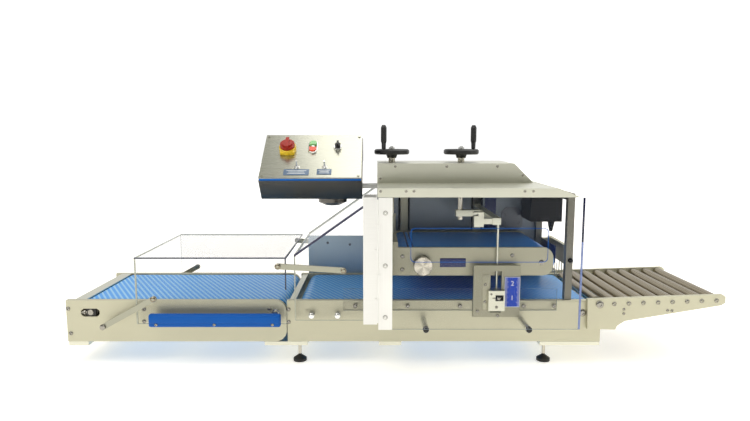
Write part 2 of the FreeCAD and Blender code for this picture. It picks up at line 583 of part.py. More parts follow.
def housing_posts():
    front = f"{DOOR_Y} - door_strip_thickness"
    depth = "door_reach + door_strip_thickness - hood_reach"
    outer = box((f"{HOUSE_LEFT} - column_width - 1", front, "column_bottom"),
                ("column_width", depth, "cover_bottom - column_bottom"))
    inner = box((f"{HOUSE_LEFT} - column_width - 1 + column_wall", f"{front} + column_wall", "column_bottom"),
                ("column_width - 2 * column_wall", f"{depth} - 2 * column_wall", "cover_bottom - column_bottom"))
    pin = rod((HINGE_X, HINGE_Y, HINGE_LOW), "Z", "hinge_pin_radius", f"5 * {HINGE_STEP}")
    fixed = fused(cut(outer, inner), *hinge_knuckles((0, 2, 4), -1, "hinge_pin_radius"), pin)
    posts = [box((f"{HOUSE_RIGHT} - post_inset", y, PLATE_TOP),
                 ("post_size", "post_size", f"cover_bottom - {PLATE_TOP}"))
             for y in (f"-{WALL_Y}", POST_Y)]
    beam = box((f"{HOUSE_RIGHT} - post_inset", f"-{POST_Y}", "cover_bottom - post_size"),
               ("post_size", f"2 * {POST_Y}", "post_size"))
    arm = fused(box((SWIVEL_X, "swivel_y - arm_width / 2", ARM_Z),
                    ("swivel_reach", "arm_width", "arm_height")),
                rod((SWIVEL_X, "swivel_y", ARM_Z), "Z", "arm_width / 2", "arm_height"))
    bore = rod((SWIVEL_X, "swivel_y", ARM_Z), "Z", "swivel_pin_radius + shaft_play", "arm_height")
    part("housing_posts", fixed, fused(beam, *posts), cut(arm, bore))


def shell(outline, inset, y, depth):
    """A folded sheet cover, open below: the outline less the same outline moved in by the sheet."""
    solid = prism(outline, y, depth)
    hollow = prism(inset, f"{y} + sheet", f"{depth} - 2 * sheet")
    return solid, hollow


def covers():
    ledge_end = f"({HOUSE_LEFT} + ledge_length)"
    skirt = f"({HOUSE_LEFT} + skirt_end)"
    solid, hollow = shell(
        [(HOUSE_LEFT, "cover_bottom"), (skirt, "cover_bottom"), (ledge_end, "ledge_height"),
         (HOUSE_LEFT, "ledge_height")],
        [(f"{HOUSE_LEFT} + sheet", "cover_bottom - 1"), (f"{skirt} - 3 * sheet", "cover_bottom - 1"),
         (f"{ledge_end} - sheet / 2", "ledge_height - sheet"), (f"{HOUSE_LEFT} + sheet", "ledge_height - sheet")],
        DOOR_Y, f"{REAR_Y} - {DOOR_Y}")
    box_y = f"({DOOR_Y} + box_front)"
    opening = box((f"{HOUSE_LEFT} + 20", f"{box_y} + 20", "ledge_height - sheet - 1"),
                  ("box_length - 20", "box_depth - 40", "sheet + 2"))
    ledge = cut(solid, hollow, opening)
    foot = f"({HOUSE_LEFT} + box_foot)"
    top = f"({HOUSE_LEFT} + box_length)"
    solid, hollow = shell(
        [(HOUSE_LEFT, "ledge_height"), (foot, "ledge_height"), (top, "cover_height"),
         (HOUSE_LEFT, "cover_height")],
        [(f"{HOUSE_LEFT} + sheet", "ledge_height - 1"), (f"{foot} - 1.5 * sheet", "ledge_height - 1"),
         (f"{top} - sheet", "cover_height - sheet"), (f"{HOUSE_LEFT} + sheet", "cover_height - sheet")],
        box_y, "box_depth")
    holes = [rod((x, "spindle_y", "cover_height - sheet - 1"), "Z", "spindle_radius + 1", "sheet + 2")
             for x in (LEFT_SPINDLE, RIGHT_SPINDLE)]
    part("upper_cover", cut(solid, hollow, *holes))
    outer = box((HOUSE_LEFT, HALF, "rear_cover_bottom"),
                ("house_length", "rear_cover_depth", "cover_bottom - rear_cover_bottom"))
    inner = box((f"{HOUSE_LEFT} + sheet", f"{HALF} - 1", "rear_cover_bottom + sheet"),
                ("house_length - 2 * sheet", "rear_cover_depth + 1 - sheet", "cover_bottom - rear_cover_bottom"))
    part("lower_covers", ledge, cut(outer, inner))


def door():
    left = f"({HOUSE_LEFT} + door_gap)"
    pane = box((left, DOOR_Y, "door_bottom"),
               ("house_length + 6 - door_gap", "pane_thickness", "cover_bottom - 1 - door_bottom"))
    part("door_pane", pane)
    strip = box((left, f"{DOOR_Y} - door_strip_thickness", "door_bottom"),
                ("door_strip_width", "door_strip_thickness", "cover_bottom - 1 - door_bottom"))
    bolts = [rod((f"{left} + door_strip_width / 2", f"{DOOR_Y} - door_strip_thickness - strip_bolt_height",
                  f"door_bottom + {rise}"), "Y", "strip_bolt_radius", "strip_bolt_height")
             for rise in (35, 179, 323)]
    part("door_strip", fused(strip, *bolts, *hinge_knuckles((1, 3), 1, "hinge_pin_radius + shaft_play")))


def guides():
    strips = [box((f"{MAIN_START} + {start}", f"-{HALF} - pane_thickness", "guide_strip_bottom"),
                  (length, "pane_thickness", "guide_strip_top - guide_strip_bottom"))
              for start, length in (("guide_left_start", "guide_left_length"),
                                    ("guide_right_start", "guide_right_length"))]
    part("side_guides", *strips)


def blade_frame():
    plate = box((FRAME_LEFT, f"-{FRAME_Y}", "frame_bottom"), ("frame_width", "frame_thickness", "frame_height"))
    window = box((WINDOW_LEFT, f"-{FRAME_Y}", "window_bottom"),
                 ("window_width", "frame_thickness", "window_top - window_bottom"))
    part("blade_frame", cut(plate, window))
    scale = box((f"{WINDOW_MID} + slide_width / 2 + 1", f"-{FRAME_Y} - scale_thickness", "scale_bottom"),
                ("scale_width", "scale_thickness", "scale_height"))
    part("scale_plate", scale)


def blade_carriage():
    low = "slide_bottom"
    pieces = []
    tongue_left = f"({WINDOW_LEFT} + touch_gap)"
    tongue_width = "window_width - 2 * touch_gap"
    for sign in (-1, 1):
        face = f"-{FRAME_Y} - touch_gap - slide_depth" if sign < 0 else f"{HALF} + touch_gap"
        tongue = f"-{FRAME_Y} - touch_gap" if sign < 0 else INNER
        reach = f"{FRAME_Y} + touch_gap - {INNER}" if sign < 0 else f"{HALF} + touch_gap - {INNER}"
        block = box((f"{WINDOW_MID} - slide_width / 2", face, low), ("slide_width", "slide_depth", "slide_height"))
        nose = box((tongue_left, tongue, low), (tongue_width, reach, "slide_height"))
        pieces.append(fused(block, nose))
    rod_y = f"-{ARM_Y}"
    upright = rod((f"{WINDOW_MID} + rod_shift", rod_y, f"{low} + slide_height"), "Z", "rod_radius",
                  f"carriage_arm_z - {low} - slide_height")
    rear_bar = box((f"{WINDOW_MID} - carriage_arm_width / 2", f"{HALF} + touch_gap", f"{low} + slide_height"),
                   ("carriage_arm_width", "slide_depth", f"carriage_arm_z - {low} - slide_height"))
    arm = box((f"{WINDOW_MID} - carriage_arm_width / 2", f"{rod_y} - 7", "carriage_arm_z"),
              ("carriage_arm_width", f"{ARM_Y} + 7 + {HALF} + touch_gap + slide_depth", "carriage_arm_height"))
    cross = box((f"{RIGHT_SPINDLE} - 15", "spindle_y - 15", "carriage_arm_z"),
                (f"{WINDOW_MID} - {RIGHT_SPINDLE} + 15", "30", "carriage_arm_height"))
    nut = rod((RIGHT_SPINDLE, "spindle_y", "carriage_arm_z"), "Z", "screw_radius + nut_play", "carriage_arm_height")
    front_bar = box((f"{WINDOW_MID} - 66", f"{rod_y} - 5", "carriage_arm_z + 2"), ("66", "10", "16"))
    clamp = box((f"{WINDOW_MID} - 66", f"{rod_y} - 10", "carriage_arm_z - 6"), ("28", "22", "43"))
    slit = box((f"{WINDOW_MID} - 66", f"{rod_y} - 10", "carriage_arm_z + 26"), ("12", "22", "6"))
    frame = cut(fused(*pieces, upright, rear_bar, arm, cross, front_bar, cut(clamp, slit)), nut)
    gap = "blade_play / 2"
    slot = box((f"{WINDOW_MID} - blade_width / 2 - {gap}", "-200", f"blade_level - {gap}"),
               ("blade_width + blade_play", "400", "blade_thickness + blade_play"))
    part("blade_carriage", cut(frame, slot))
    blade = box((f"{WINDOW_MID} - blade_width / 2", f"-{INNER} - plate_thickness + 1", "blade_level"),
                ("blade_width", f"2 * ({INNER} + plate_thickness - 1)", "blade_thickness"))
    part("blade", blade)


def upper_unit():
    right_value = (LEFT_VALUE + SIZES["infeed_length"] + SIZES["plate_gap"] + SIZES["house_start"]
                   + SIZES["unit_start"] + SIZES["unit_length"])
    tail = f"({UNIT_LEFT} + unit_pulley_inset)"
    drive = f"({UNIT_LEFT} + unit_length - unit_drive_inset)"
    plates = []
    for y in (f"-{UNIT_Y}", f"{UNIT_Y} - unit_plate"):
        plate = prism([(UNIT_LEFT, "unit_bottom"), (f"{UNIT_LEFT} + unit_length", "unit_bottom"),
                       (f"{UNIT_LEFT} + unit_length", UNIT_TOP), (UNIT_LEFT, UNIT_TOP)], y, "unit_plate")
        round_edges(plate, lambda edge: along_y(edge) and edge.BoundBox.XMin > right_value - 1, "unit_corner")
        drill(plate, [(tail, "unit_belt_centre", "unit_shaft_radius + shaft_play"),
                      (drive, "unit_belt_centre", "unit_shaft_radius + shaft_play"),
                      (f"{UNIT_LEFT} + knob_x", "knob_z", "knob_screw_radius + shaft_play")])
        plates.append(plate)
    bridge = box((f"{LEFT_SPINDLE} - bridge_width / 2", f"-{UNIT_Y}", UNIT_TOP),
                 ("bridge_width", f"2 * {UNIT_Y}", "unit_bridge_height"))
    tube = rod((LEFT_SPINDLE, "spindle_y", UNIT_TOP), "Z", "nut_tube_radius",
               "unit_bridge_height + nut_tube_height")
    nut = rod((LEFT_SPINDLE, "spindle_y", UNIT_TOP), "Z", "screw_radius + nut_play",
              "unit_bridge_height + nut_tube_height")
    slot_x = f"({HOUSE_LEFT} + front_slot_x)"
    riser = box((f"{slot_x} - riser_width / 2", UNIT_Y, "unit_bottom + riser_foot"),
                ("riser_width", "riser_depth", "riser_height"))
    carrier = box((f"{slot_x} - riser_width / 2", f"{UNIT_Y} + riser_depth", "unit_bottom + carrier_foot"),
                  ("riser_width", "carrier_size", "carrier_size"))
    tie = box((f"{UNIT_LEFT} + unit_length / 2", f"-{UNIT_Y} + unit_plate", "unit_belt_centre - 12"),
              ("24", f"2 * {UNIT_Y} - 2 * unit_plate", "24"))
    part("upper_unit_frame", *plates, cut(fused(bridge, tube), nut), fused(riser, carrier), tie)
    part("upper_belt", loop(tail, drive, "unit_belt_centre", "unit_pulley_radius", "belt_thickness",
                            UNIT_BELT_WIDTH))
    radius = "(unit_pulley_radius - touch_gap)"
    drum = f"({UNIT_Y} - unit_plate - 1)"
    pulley("upper_tail_pulley", tail, "unit_belt_centre", radius, drum, "unit_shaft_radius", UNIT_Y)
    pulley("upper_drive_pulley", drive, "unit_belt_centre", radius, drum, "unit_shaft_radius", UNIT_Y)
    knob = turned([(0, "-unit_plate + 1"), ("knob_screw_radius", "-unit_plate + 1"),
                   ("knob_screw_radius", "touch_gap"), ("knob_radius - 2", "touch_gap"),
                   ("knob_radius", "touch_gap + 2"), ("knob_radius", "knob_length - 2"),
                   ("knob_radius - 2", "knob_length"), (0, "knob_length")])
    knob = cut(knob, *[knurl(index) for index in range(KNURLS)])
    knob.Placement = FreeCAD.Placement(FreeCAD.Vector(), FreeCAD.Rotation(FreeCAD.Vector(1, 0, 0), 90))
    part("tension_knob", place(knob, f"{UNIT_LEFT} + knob_x", f"-{UNIT_Y}", "knob_z"))


def knurl(index):
    turn = 360 * index / KNURLS
    flute = doc.addObject("Part::Cylinder", "Flute")
    bind(flute, Radius="1.4", Height="knob_length + 1")
    return place(flute, f"(knob_radius + 0.6) * cos({turn})", f"(knob_radius + 0.6) * sin({turn})", 0)


def handwheel(name, x):
    """Disc handwheel on its spindle, with a hub below and a revolving grip above."""
    rim_low = "(cover_height + wheel_lift)"
    rim_top = f"({rim_low} + wheel_rim)"
    disc = turned([("screw_radius", f"{rim_low} - 12"), (14, f"{rim_low} - 12"), (18, f"{rim_low}"),
                   ("wheel_radius - 12", f"{rim_low} + 4"), ("wheel_radius - 3", rim_low),
                   ("wheel_radius", f"{rim_low} + 4"), ("wheel_radius", f"{rim_top} - 4"),
                   ("wheel_radius - 4", rim_top), ("wheel_radius - 12", f"{rim_top} - 2"),
                   (16, f"{rim_top} - 6"), (14, rim_top), ("screw_radius", rim_top)])
    turn = f"{name}_grip_turn"
    pin = rod((f"grip_reach * cos({turn})", f"grip_reach * sin({turn})", f"{rim_top} - 6"), "Z",
              "grip_pin_radius", "grip_length + 6")
    place(disc)
    spindle_low = f"({UNIT_TOP} + 50)" if name == "left" else "(carriage_arm_z - 12)"
    spindle = turned([(0, spindle_low), ("screw_radius", spindle_low), ("screw_radius", "cover_height - 20"),
                      ("spindle_radius", "cover_height - 20"), ("spindle_radius", f"{rim_low} - 12"),
                      ("screw_radius", f"{rim_low} - 12"), ("screw_radius", rim_top), (0, rim_top)])
    part(f"{name}_handwheel", place(fused(disc, pin, spindle), x, "spindle_y", 0))
    low = f"({rim_top} + 1)"
    play = "(grip_pin_radius + shaft_play)"
    grip = turned([(play, low), ("grip_radius - 2.5", low), ("grip_radius - 2", f"{low} + 18"),
                   ("grip_radius", f"{low} + 24"), ("grip_radius", f"{low} + grip_length - 8"),
                   ("grip_radius - 4", f"{low} + grip_length"), (play, f"{low} + grip_length")])
    part(f"{name}_grip", place(grip, f"{x} + grip_reach * cos({turn})", f"spindle_y + grip_reach * sin({turn})"))


def tilted(thing):
    """Turn a piece drawn on the flat about the pivot bolt, to the slope of the track."""
    thing.Placement = FreeCAD.Placement(FreeCAD.Vector(), FreeCAD.Rotation(FreeCAD.Vector(0, -1, 0), 1))
    bind(thing, Placement__Rotation__Angle="track_slope")
    return place(thing, PIVOT_X, 0, "track_pivot_z")


def roller_track():
    reach = f"((overall_length / 2 - {PIVOT_X}) / cos(track_slope) - 0.5)"
    outline = [("-35", "-73"), ("46", "-77"), ("51", "-66"), ("74", "-52"), (f"{reach} - 12", "-15"),
               (reach, "-8"), (reach, "10"), (f"{reach} - 8", "16.5"), ("-35", "16.5")]
    plates = []
    for y in (f"-{TRACK_Y} - track_plate", TRACK_Y):
        plates.append(prism(outline, y, "track_plate"))
    bolts = [rod((f"{index} * roller_pitch", f"-{TRACK_Y} - track_plate - 2", 0), "Y", "roller_bolt_radius",
                 f"2 * ({TRACK_Y} + track_plate + 2)") for index in range(ROLLERS)]
    ties = [rod((x, f"-{TRACK_Y}", "-track_tie_drop"), "Y", "track_tie_radius", f"2 * {TRACK_Y}")
            for x in (74, 215)]
    heads = both_sides("pivot_head_radius", 0, 0, f"{TRACK_Y} + track_plate", "3")
    part("track_frame", tilted(fused(*plates, *bolts, *ties, *heads)))
    for index in range(ROLLERS):
        half = f"({INNER} - 2)" if index == 0 else f"({HALF} - 3)"
        tube = cut(rod((f"{index} * roller_pitch", f"-{half}", 0), "Y", "roller_radius", f"2 * {half}"),
                   rod((f"{index} * roller_pitch", f"-{half} - 1", 0), "Y", "roller_bolt_radius + shaft_play",
                       f"2 * {half} + 2"))
        part(f"track_roller_{index + 1}", tilted(tube))


def discharge_bar():
    x = f"({MAIN_START} + bar_x)"
    start = f"{WALL_Y} - bar_length"
    bar = box((x, start, "bar_bottom"), ("bar_thickness", "bar_length", "bar_height"))
    bracket = box((f"{HOUSE_RIGHT} - post_inset + post_size", POST_Y, "bar_bottom + bar_height / 2 - 6"),
                  (f"{x} - {HOUSE_RIGHT} + post_inset - post_size", "post_size", "bar_height / 2"))
    wires = [rod((f"{x} + bar_thickness / 2", f"{start} + {reach}", "bar_bottom - wire_drop"), "Z",
                 "wire_radius", "wire_drop") for reach in (8, 34, 60)]
    part("discharge_bar", fused(bar, bracket, *wires))


def motors():
    top = "(cover_bottom - post_size)"
    low = f"({top} - blade_motor_height)"
    body = box((f"{MAIN_START} + blade_motor_x", f"{POST_Y} - blade_motor_depth", low),
               ("blade_motor_width", "blade_motor_depth", "blade_motor_height"))
    nozzle = doc.addObject("Part::Cone", "Nozzle")
    bind(nozzle, Radius1="nozzle_radius - 7", Radius2="nozzle_radius", Height="nozzle_height")
    place(nozzle, f"{MAIN_START} + blade_motor_x + blade_motor_width - 27",
          f"{POST_Y} - blade_motor_depth + 25",
          f"{low} - nozzle_height")
    stand = f"{HALF} + gearbox_stand"
    gearbox = box((f"{MAIN_DRIVE_X} - gearbox_size / 2", stand, f"{PULLEY_Z} - gearbox_size / 2"),
                  ("gearbox_size", "gearbox_depth", "gearbox_size"))
    foot = box((f"{MAIN_DRIVE_X} - gearbox_size / 2", HALF, f"{PULLEY_Z} - gearbox_size / 2"),
               ("gearbox_size / 2 - shaft_radius - 2", "gearbox_stand", "gearbox_size"))
    motor = rod((MAIN_DRIVE_X, f"{stand} + gearbox_depth / 2", f"{PULLEY_Z} - gearbox_size / 2 - motor_length"), "Z",
                "motor_radius", "motor_length")
    bore = rod((MAIN_DRIVE_X, stand, PULLEY_Z), "Y", "shaft_radius + shaft_play", "gearbox_depth")
    part("drive_motors", fused(body, nozzle), cut(fused(gearbox, foot, motor), bore))


# Screw heads: distance along from the plate's left end and height over the plates' top edge
INFEED_HEADS = [(6, -25), (10, -99), (227, -27), (226, -63), (593, -27)]
MAIN_HEADS = [(4, -27), (4, -65)]
FRAME_HEADS = [(13, -30), (72, -44), (34, 49), (34, -2)]
GUIDE_HEADS = [199, 351, 503, 688, 776]
DOOR_RODS = [397, 682]


def standoffs_and_bolts():
    rods = [rod((f"{MAIN_START} + {x}", f"-{HALF} - door_reach + pane_thickness + 1", "door_rod_z"), "Y",
                "door_rod_radius", "door_reach - pane_thickness - 1") for x in DOOR_RODS]
    bolts = [piece for start, heads in ((LEFT, INFEED_HEADS), (MAIN_START, MAIN_HEADS)) for x, rise in heads
             for piece in both_sides("head_radius", f"{start} + {x}", f"{PLATE_TOP} + {rise}", HALF, "head_height")]
    strip_heads = [rod((f"{MAIN_START} + {x}", f"-{HALF} - pane_thickness - head_height", "guide_bolt_z"), "Y",
                       "head_radius", "head_height") for x in GUIDE_HEADS]
    frame_heads = [rod((f"{FRAME_LEFT} + {x}", f"-{FRAME_Y} - head_height + 1", f"{PLATE_TOP} + {rise}"), "Y",
                       "head_radius - 1", "head_height - 1") for x, rise in FRAME_HEADS]
    hood_bolts = [piece for x in HOOD_BOLTS
                  for piece in both_sides("hood_bolt_radius", x, "hood_bolt_z", HALF, "hood_reach + 5")]
    part("rods_and_bolts", *rods, *bolts, *strip_heads, *frame_heads, *hood_bolts, *studs([(REST, HALF)]),
         *take_up_blocks())


def on_panel(thing):
    """Lay a piece drawn flat on the lid onto the tilted face of the control box."""
    thing = group(thing, alone=False)
    thing.Placement = FreeCAD.Placement(FreeCAD.Vector(), FreeCAD.Rotation(FreeCAD.Vector(1, 0, 0), 10))
    bind(thing, Placement__Rotation__Angle="panel_tilt")
    return place(thing, PANEL_X, "panel_y", "panel_z")


def control_box():
    half = "panel_width / 2"
    lid_low = "(-lid_thickness)"
    seal_low = f"({lid_low} - gasket_height)"
    body_low = f"({seal_low} - panel_depth)"
    holes = [rod(("switch_x", "switch_v", lid_low), "Z", "6", "lid_thickness"),
             rod(("selector_x", "button_v", lid_low), "Z", "6", "lid_thickness")]
    holes += [rod((x, "toggle_v", lid_low), "Z", "4.5", "lid_thickness") for x in ("-toggle_x", "toggle_x")]
    holes += [rod((0, f"button_v + {sign} * button_spread / 2", lid_low), "Z", "4.2", "lid_thickness")
              for sign in (-1, 1)]
    screws = [rod((f"{across} * (panel_width / 2 - 9)", along, 0), "Z", "4", "3")
              for across in (-1, 1) for along in ("9", "panel_height - 9")]
    lid = cut(box((f"-{half}", 0, lid_low), ("panel_width", "panel_height", "lid_thickness")), *holes)
    part("box_lid", on_panel(fused(lid, *screws)))
    ring = cut(box((f"-{half} + 1", 1, seal_low), ("panel_width - 2", "panel_height - 2", "gasket_height")),
               box((f"-{half} + 9", 9, f"{seal_low} - 1"),
                   ("panel_width - 18", "panel_height - 18", "gasket_height + 2")))
    part("box_gasket", on_panel(ring))
    shell_outer = box((f"-{half} - 2", -2, body_low), ("panel_width + 4", "panel_height + 4", "panel_depth"))
    shell_inner = box((f"-{half} - 2 + panel_wall", "panel_wall - 2", f"{body_low} + panel_wall"),
                      ("panel_width + 4 - 2 * panel_wall", "panel_height + 4 - 2 * panel_wall", "panel_depth"))
    rim = cut(box((f"-{half} - 2", -2, f"{seal_low} - panel_wall"),
                  ("panel_width + 4", "panel_height + 4", "panel_wall")),
              box((f"-{half} + 12", "12", f"{seal_low} - panel_wall - 1"),
                  ("panel_width - 24", "panel_height - 24", "panel_wall + 2")))
    part("control_enclosure", on_panel(fused(cut(shell_outer, shell_inner), rim)))


def controls():
    size = "switch_size"
    base = cut(box((f"switch_x - {size} / 2", f"switch_v - {size} / 2", 0), (size, size, "switch_base")),
               rod(("switch_x", "switch_v", 0), "Z", "6.1", "switch_base"))
    low = "(switch_base + touch_gap)"
    knob = fused(rod(("switch_x", "switch_v", low), "Z", "switch_knob", "switch_knob_height / 2"),
                 rod(("switch_x", "switch_v", low), "Z", "switch_knob - 6", "switch_knob_height - 4"),
                 box(("switch_x - 5", "switch_v - switch_knob + 1", low),
                     ("10", "2 * switch_knob - 2", "switch_knob_height")),
                 rod(("switch_x", "switch_v", "-20"), "Z", "5.9", "20 + switch_base + 1"))
    part("main_switch_knob", on_panel(knob))
    round_end = "button_width / 2"
    half = "(button_spread / 2)"

    def oval(radius, bottom, height):
        ends = [rod((0, f"button_v + {sign} * {half}", bottom), "Z", radius, height) for sign in (-1, 1)]
        middle = box((f"-({radius})", f"button_v - {half}", bottom), (f"2 * ({radius})", f"2 * {half}", height))
        return fused(middle, *ends)

    bezel = cut(oval(round_end, 0, "bezel_height"), oval(f"{round_end} - 3", "-1", "bezel_height + 2"))
    lamp = box((f"-{round_end} + 3.5", "button_v - 5.5", 0), ("button_width - 7", "11", "bezel_height + 1"))
    ring = cut(rod(("selector_x", "button_v", 0), "Z", "selector_radius", "bezel_height"),
               rod(("selector_x", "button_v", 0), "Z", "selector_knob + 0.1", "bezel_height"))
    nuts = [cut(rod((x, "toggle_v", 0), "Z", "toggle_nut_radius", "toggle_nut_height"),
                rod((x, "toggle_v", 0), "Z", "toggle_nut_radius - 2.7", "toggle_nut_height"))
            for x in ("-toggle_x", "toggle_x")]
    part("control_bezels", on_panel(group(base, bezel, lamp, ring, *nuts)))
    for name, low_v, sign in (("stop_button", f"button_v - {half} - {round_end}", -1),
                              ("start_button", "button_v + 6", 1)):
        cap = doc.addObject("Part::Common", "Cap")
        cap.Base = oval(f"{round_end} - 3.5", "button_travel + 0.5", "bezel_height")
        cap.Tool = box(("-20", low_v, "-10"), ("40", f"{half} + {round_end} - 6", "40"))
        stem = rod((0, f"button_v + {sign} * {half}", "-14"), "Z", "4", "14 + button_travel + 1")
        part(name, on_panel(fused(cap, stem)))
    selector = fused(rod(("selector_x", "button_v", "touch_gap"), "Z", "selector_knob", "selector_height - 8"),
                     box(("selector_x - 3", "button_v - selector_knob + 0.6", "touch_gap"),
                         ("6", "2 * selector_knob - 1.2", "selector_height")),
                     rod(("selector_x", "button_v", "-18"), "Z", "5.5", "19"))
    part("selector_knob", on_panel(selector))
    for name, x in (("left_toggle", "-toggle_x"), ("right_toggle", "toggle_x")):
        ball = doc.addObject("Part::Sphere", "Ball")
        bind(ball, Radius="toggle_nut_radius - 3")
        place(ball, x, "toggle_v", "toggle_nut_height - 3")
        lever = rod((x, "toggle_v", "toggle_nut_height - 3"), "Z", "toggle_radius", "toggle_length")
        part(name, on_panel(fused(ball, lever)))


def swivel_hub():
    """The turning foot of the control box: a flange below the arm, a pin through it and a tilted seat."""
    reach = f"{ARM_Z} + arm_height + touch_gap"
    low = f"({ARM_Z} - swivel_drop)"
    rim = f"{low} + 10 + swivel_flange"
    foot = turned([(0, low), ("hub_radius", low), ("swivel_radius", f"{low} + 10"), ("swivel_radius", rim),
                   ("hub_radius", f"{rim} + 4"), ("hub_radius", f"{ARM_Z} - touch_gap"),
                   ("swivel_pin_radius", f"{ARM_Z} - touch_gap"), ("swivel_pin_radius", reach),
                   ("hub_radius", reach), ("hub_radius", f"{reach} + 100"), (0, f"{reach} + 100")])
    place(foot, SWIVEL_X, "swivel_y")
    under = "(-lid_thickness - gasket_height - panel_depth)"
    above = box(("-panel_width", "-panel_height", under), ("2 * panel_width", "3 * panel_height", "300"))
    part("swivel_hub", cut(foot, on_panel(above)))


def check_and_export():
    doc.recompute()
    broken = [item.Label for item in doc.Objects if {"Invalid", "Error"} & set(item.State)]
    if broken:
        raise RuntimeError(f"objects that failed to build: {broken}")
    os.makedirs("parts", exist_ok=True)
    for name, thing in PARTS.items():
        shape = thing.Shape
        if shape.isNull() or not shape.isValid() or not shape.Solids:
            raise RuntimeError(f"{name} has no valid solid")
        shape.exportStep(f"parts/{name}.step")
        print(f"{name:24s} solids {len(shape.Solids):3d}  volume {shape.Volume / 1000:10.1f} cm3")


infeed_side_plates()
main_side_plates()
cross_members()
levelling_feet()
conveyor_beds()
conveyors()
infeed_guard()
guard_handle()
guard_links()
slanted_hood()
rear_panels()
housing_posts()
covers()
door()
guides()
blade_frame()
blade_carriage()
upper_unit()
handwheel("left", LEFT_SPINDLE)
handwheel("right", RIGHT_SPINDLE)
roller_track()
discharge_bar()
motors()
standoffs_and_bolts()
control_box()
controls()
swivel_hub()
check_and_export()
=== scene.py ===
"""Looks of a bench-top slicer for cake bases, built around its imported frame. Everything is in metres."""

import json
import math

import bmesh
import bpy
from bpy.props import FloatProperty, FloatVectorProperty, IntProperty, PointerProperty
from mathutils import Matrix, Vector


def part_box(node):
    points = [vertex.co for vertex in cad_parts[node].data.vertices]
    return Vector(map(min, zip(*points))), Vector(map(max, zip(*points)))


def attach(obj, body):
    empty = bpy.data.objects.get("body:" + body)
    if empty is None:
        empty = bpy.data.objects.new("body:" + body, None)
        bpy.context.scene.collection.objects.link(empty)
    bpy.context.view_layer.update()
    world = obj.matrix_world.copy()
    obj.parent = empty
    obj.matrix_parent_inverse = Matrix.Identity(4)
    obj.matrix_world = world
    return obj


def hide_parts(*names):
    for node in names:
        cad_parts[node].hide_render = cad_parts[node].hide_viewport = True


bl_info = {
    "name": "Cake Slicer Looks",
    "version": (1, 0, 0),
    "blender": (4, 5, 0),
    "location": "View3D > Sidebar > Slicer",
    "description": "Finishes, fastenings and fittings of a bench-top cake slicer",
    "category": "Object",
}

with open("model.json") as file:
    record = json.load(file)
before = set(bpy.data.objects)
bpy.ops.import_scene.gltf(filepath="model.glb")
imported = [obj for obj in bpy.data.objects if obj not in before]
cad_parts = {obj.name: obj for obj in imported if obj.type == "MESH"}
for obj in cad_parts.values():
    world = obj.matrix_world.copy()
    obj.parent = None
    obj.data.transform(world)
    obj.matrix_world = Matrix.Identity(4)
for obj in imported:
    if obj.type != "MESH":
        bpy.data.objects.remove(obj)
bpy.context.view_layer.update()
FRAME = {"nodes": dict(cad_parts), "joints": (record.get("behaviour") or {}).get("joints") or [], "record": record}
NODES = FRAME["nodes"]
BODY_OF = {node: body for body, nodes in FRAME["record"]["behaviour"]["bodies"].items() for node in nodes}
JOINTS = {joint["name"]: joint for joint in FRAME["joints"]}
MM = 0.001
BOTH = (-1, 1)
TINY = 0.1 * MM
LID_DEPTH = 0.2


# Shader nodes

class Wire:
    """An output of a node. Arithmetic on it adds Math nodes."""

    def __init__(self, nodes, socket):
        self.nodes = nodes
        self.socket = socket

    def math(self, operation, *values):
        return self.nodes.node("ShaderNodeMath", {"operation": operation}, dict(enumerate(values)))

    def __add__(self, other):
        return self.math("ADD", self, other)

    def __radd__(self, other):
        return self.math("ADD", other, self)

    def __sub__(self, other):
        return self.math("SUBTRACT", self, other)

    def __rsub__(self, other):
        return self.math("SUBTRACT", other, self)

    def __mul__(self, other):
        return self.math("MULTIPLY", self, other)

    def __rmul__(self, other):
        return self.math("MULTIPLY", other, self)

    def __truediv__(self, other):
        return self.math("DIVIDE", self, other)

    def __mod__(self, other):
        return self.math("FLOORED_MODULO", self, other)

    def __gt__(self, other):
        return self.math("GREATER_THAN", self, other)

    def __lt__(self, other):
        return self.math("LESS_THAN", self, other)

    def __abs__(self):
        return self.math("ABSOLUTE", self)

    def __pow__(self, other):
        return self.math("POWER", self, other)

    def sine(self):
        return self.math("SINE", self)

    def limited(self):
        """Kept between 0 and 1."""
        return self.nodes.node("ShaderNodeClamp", sockets={0: self})


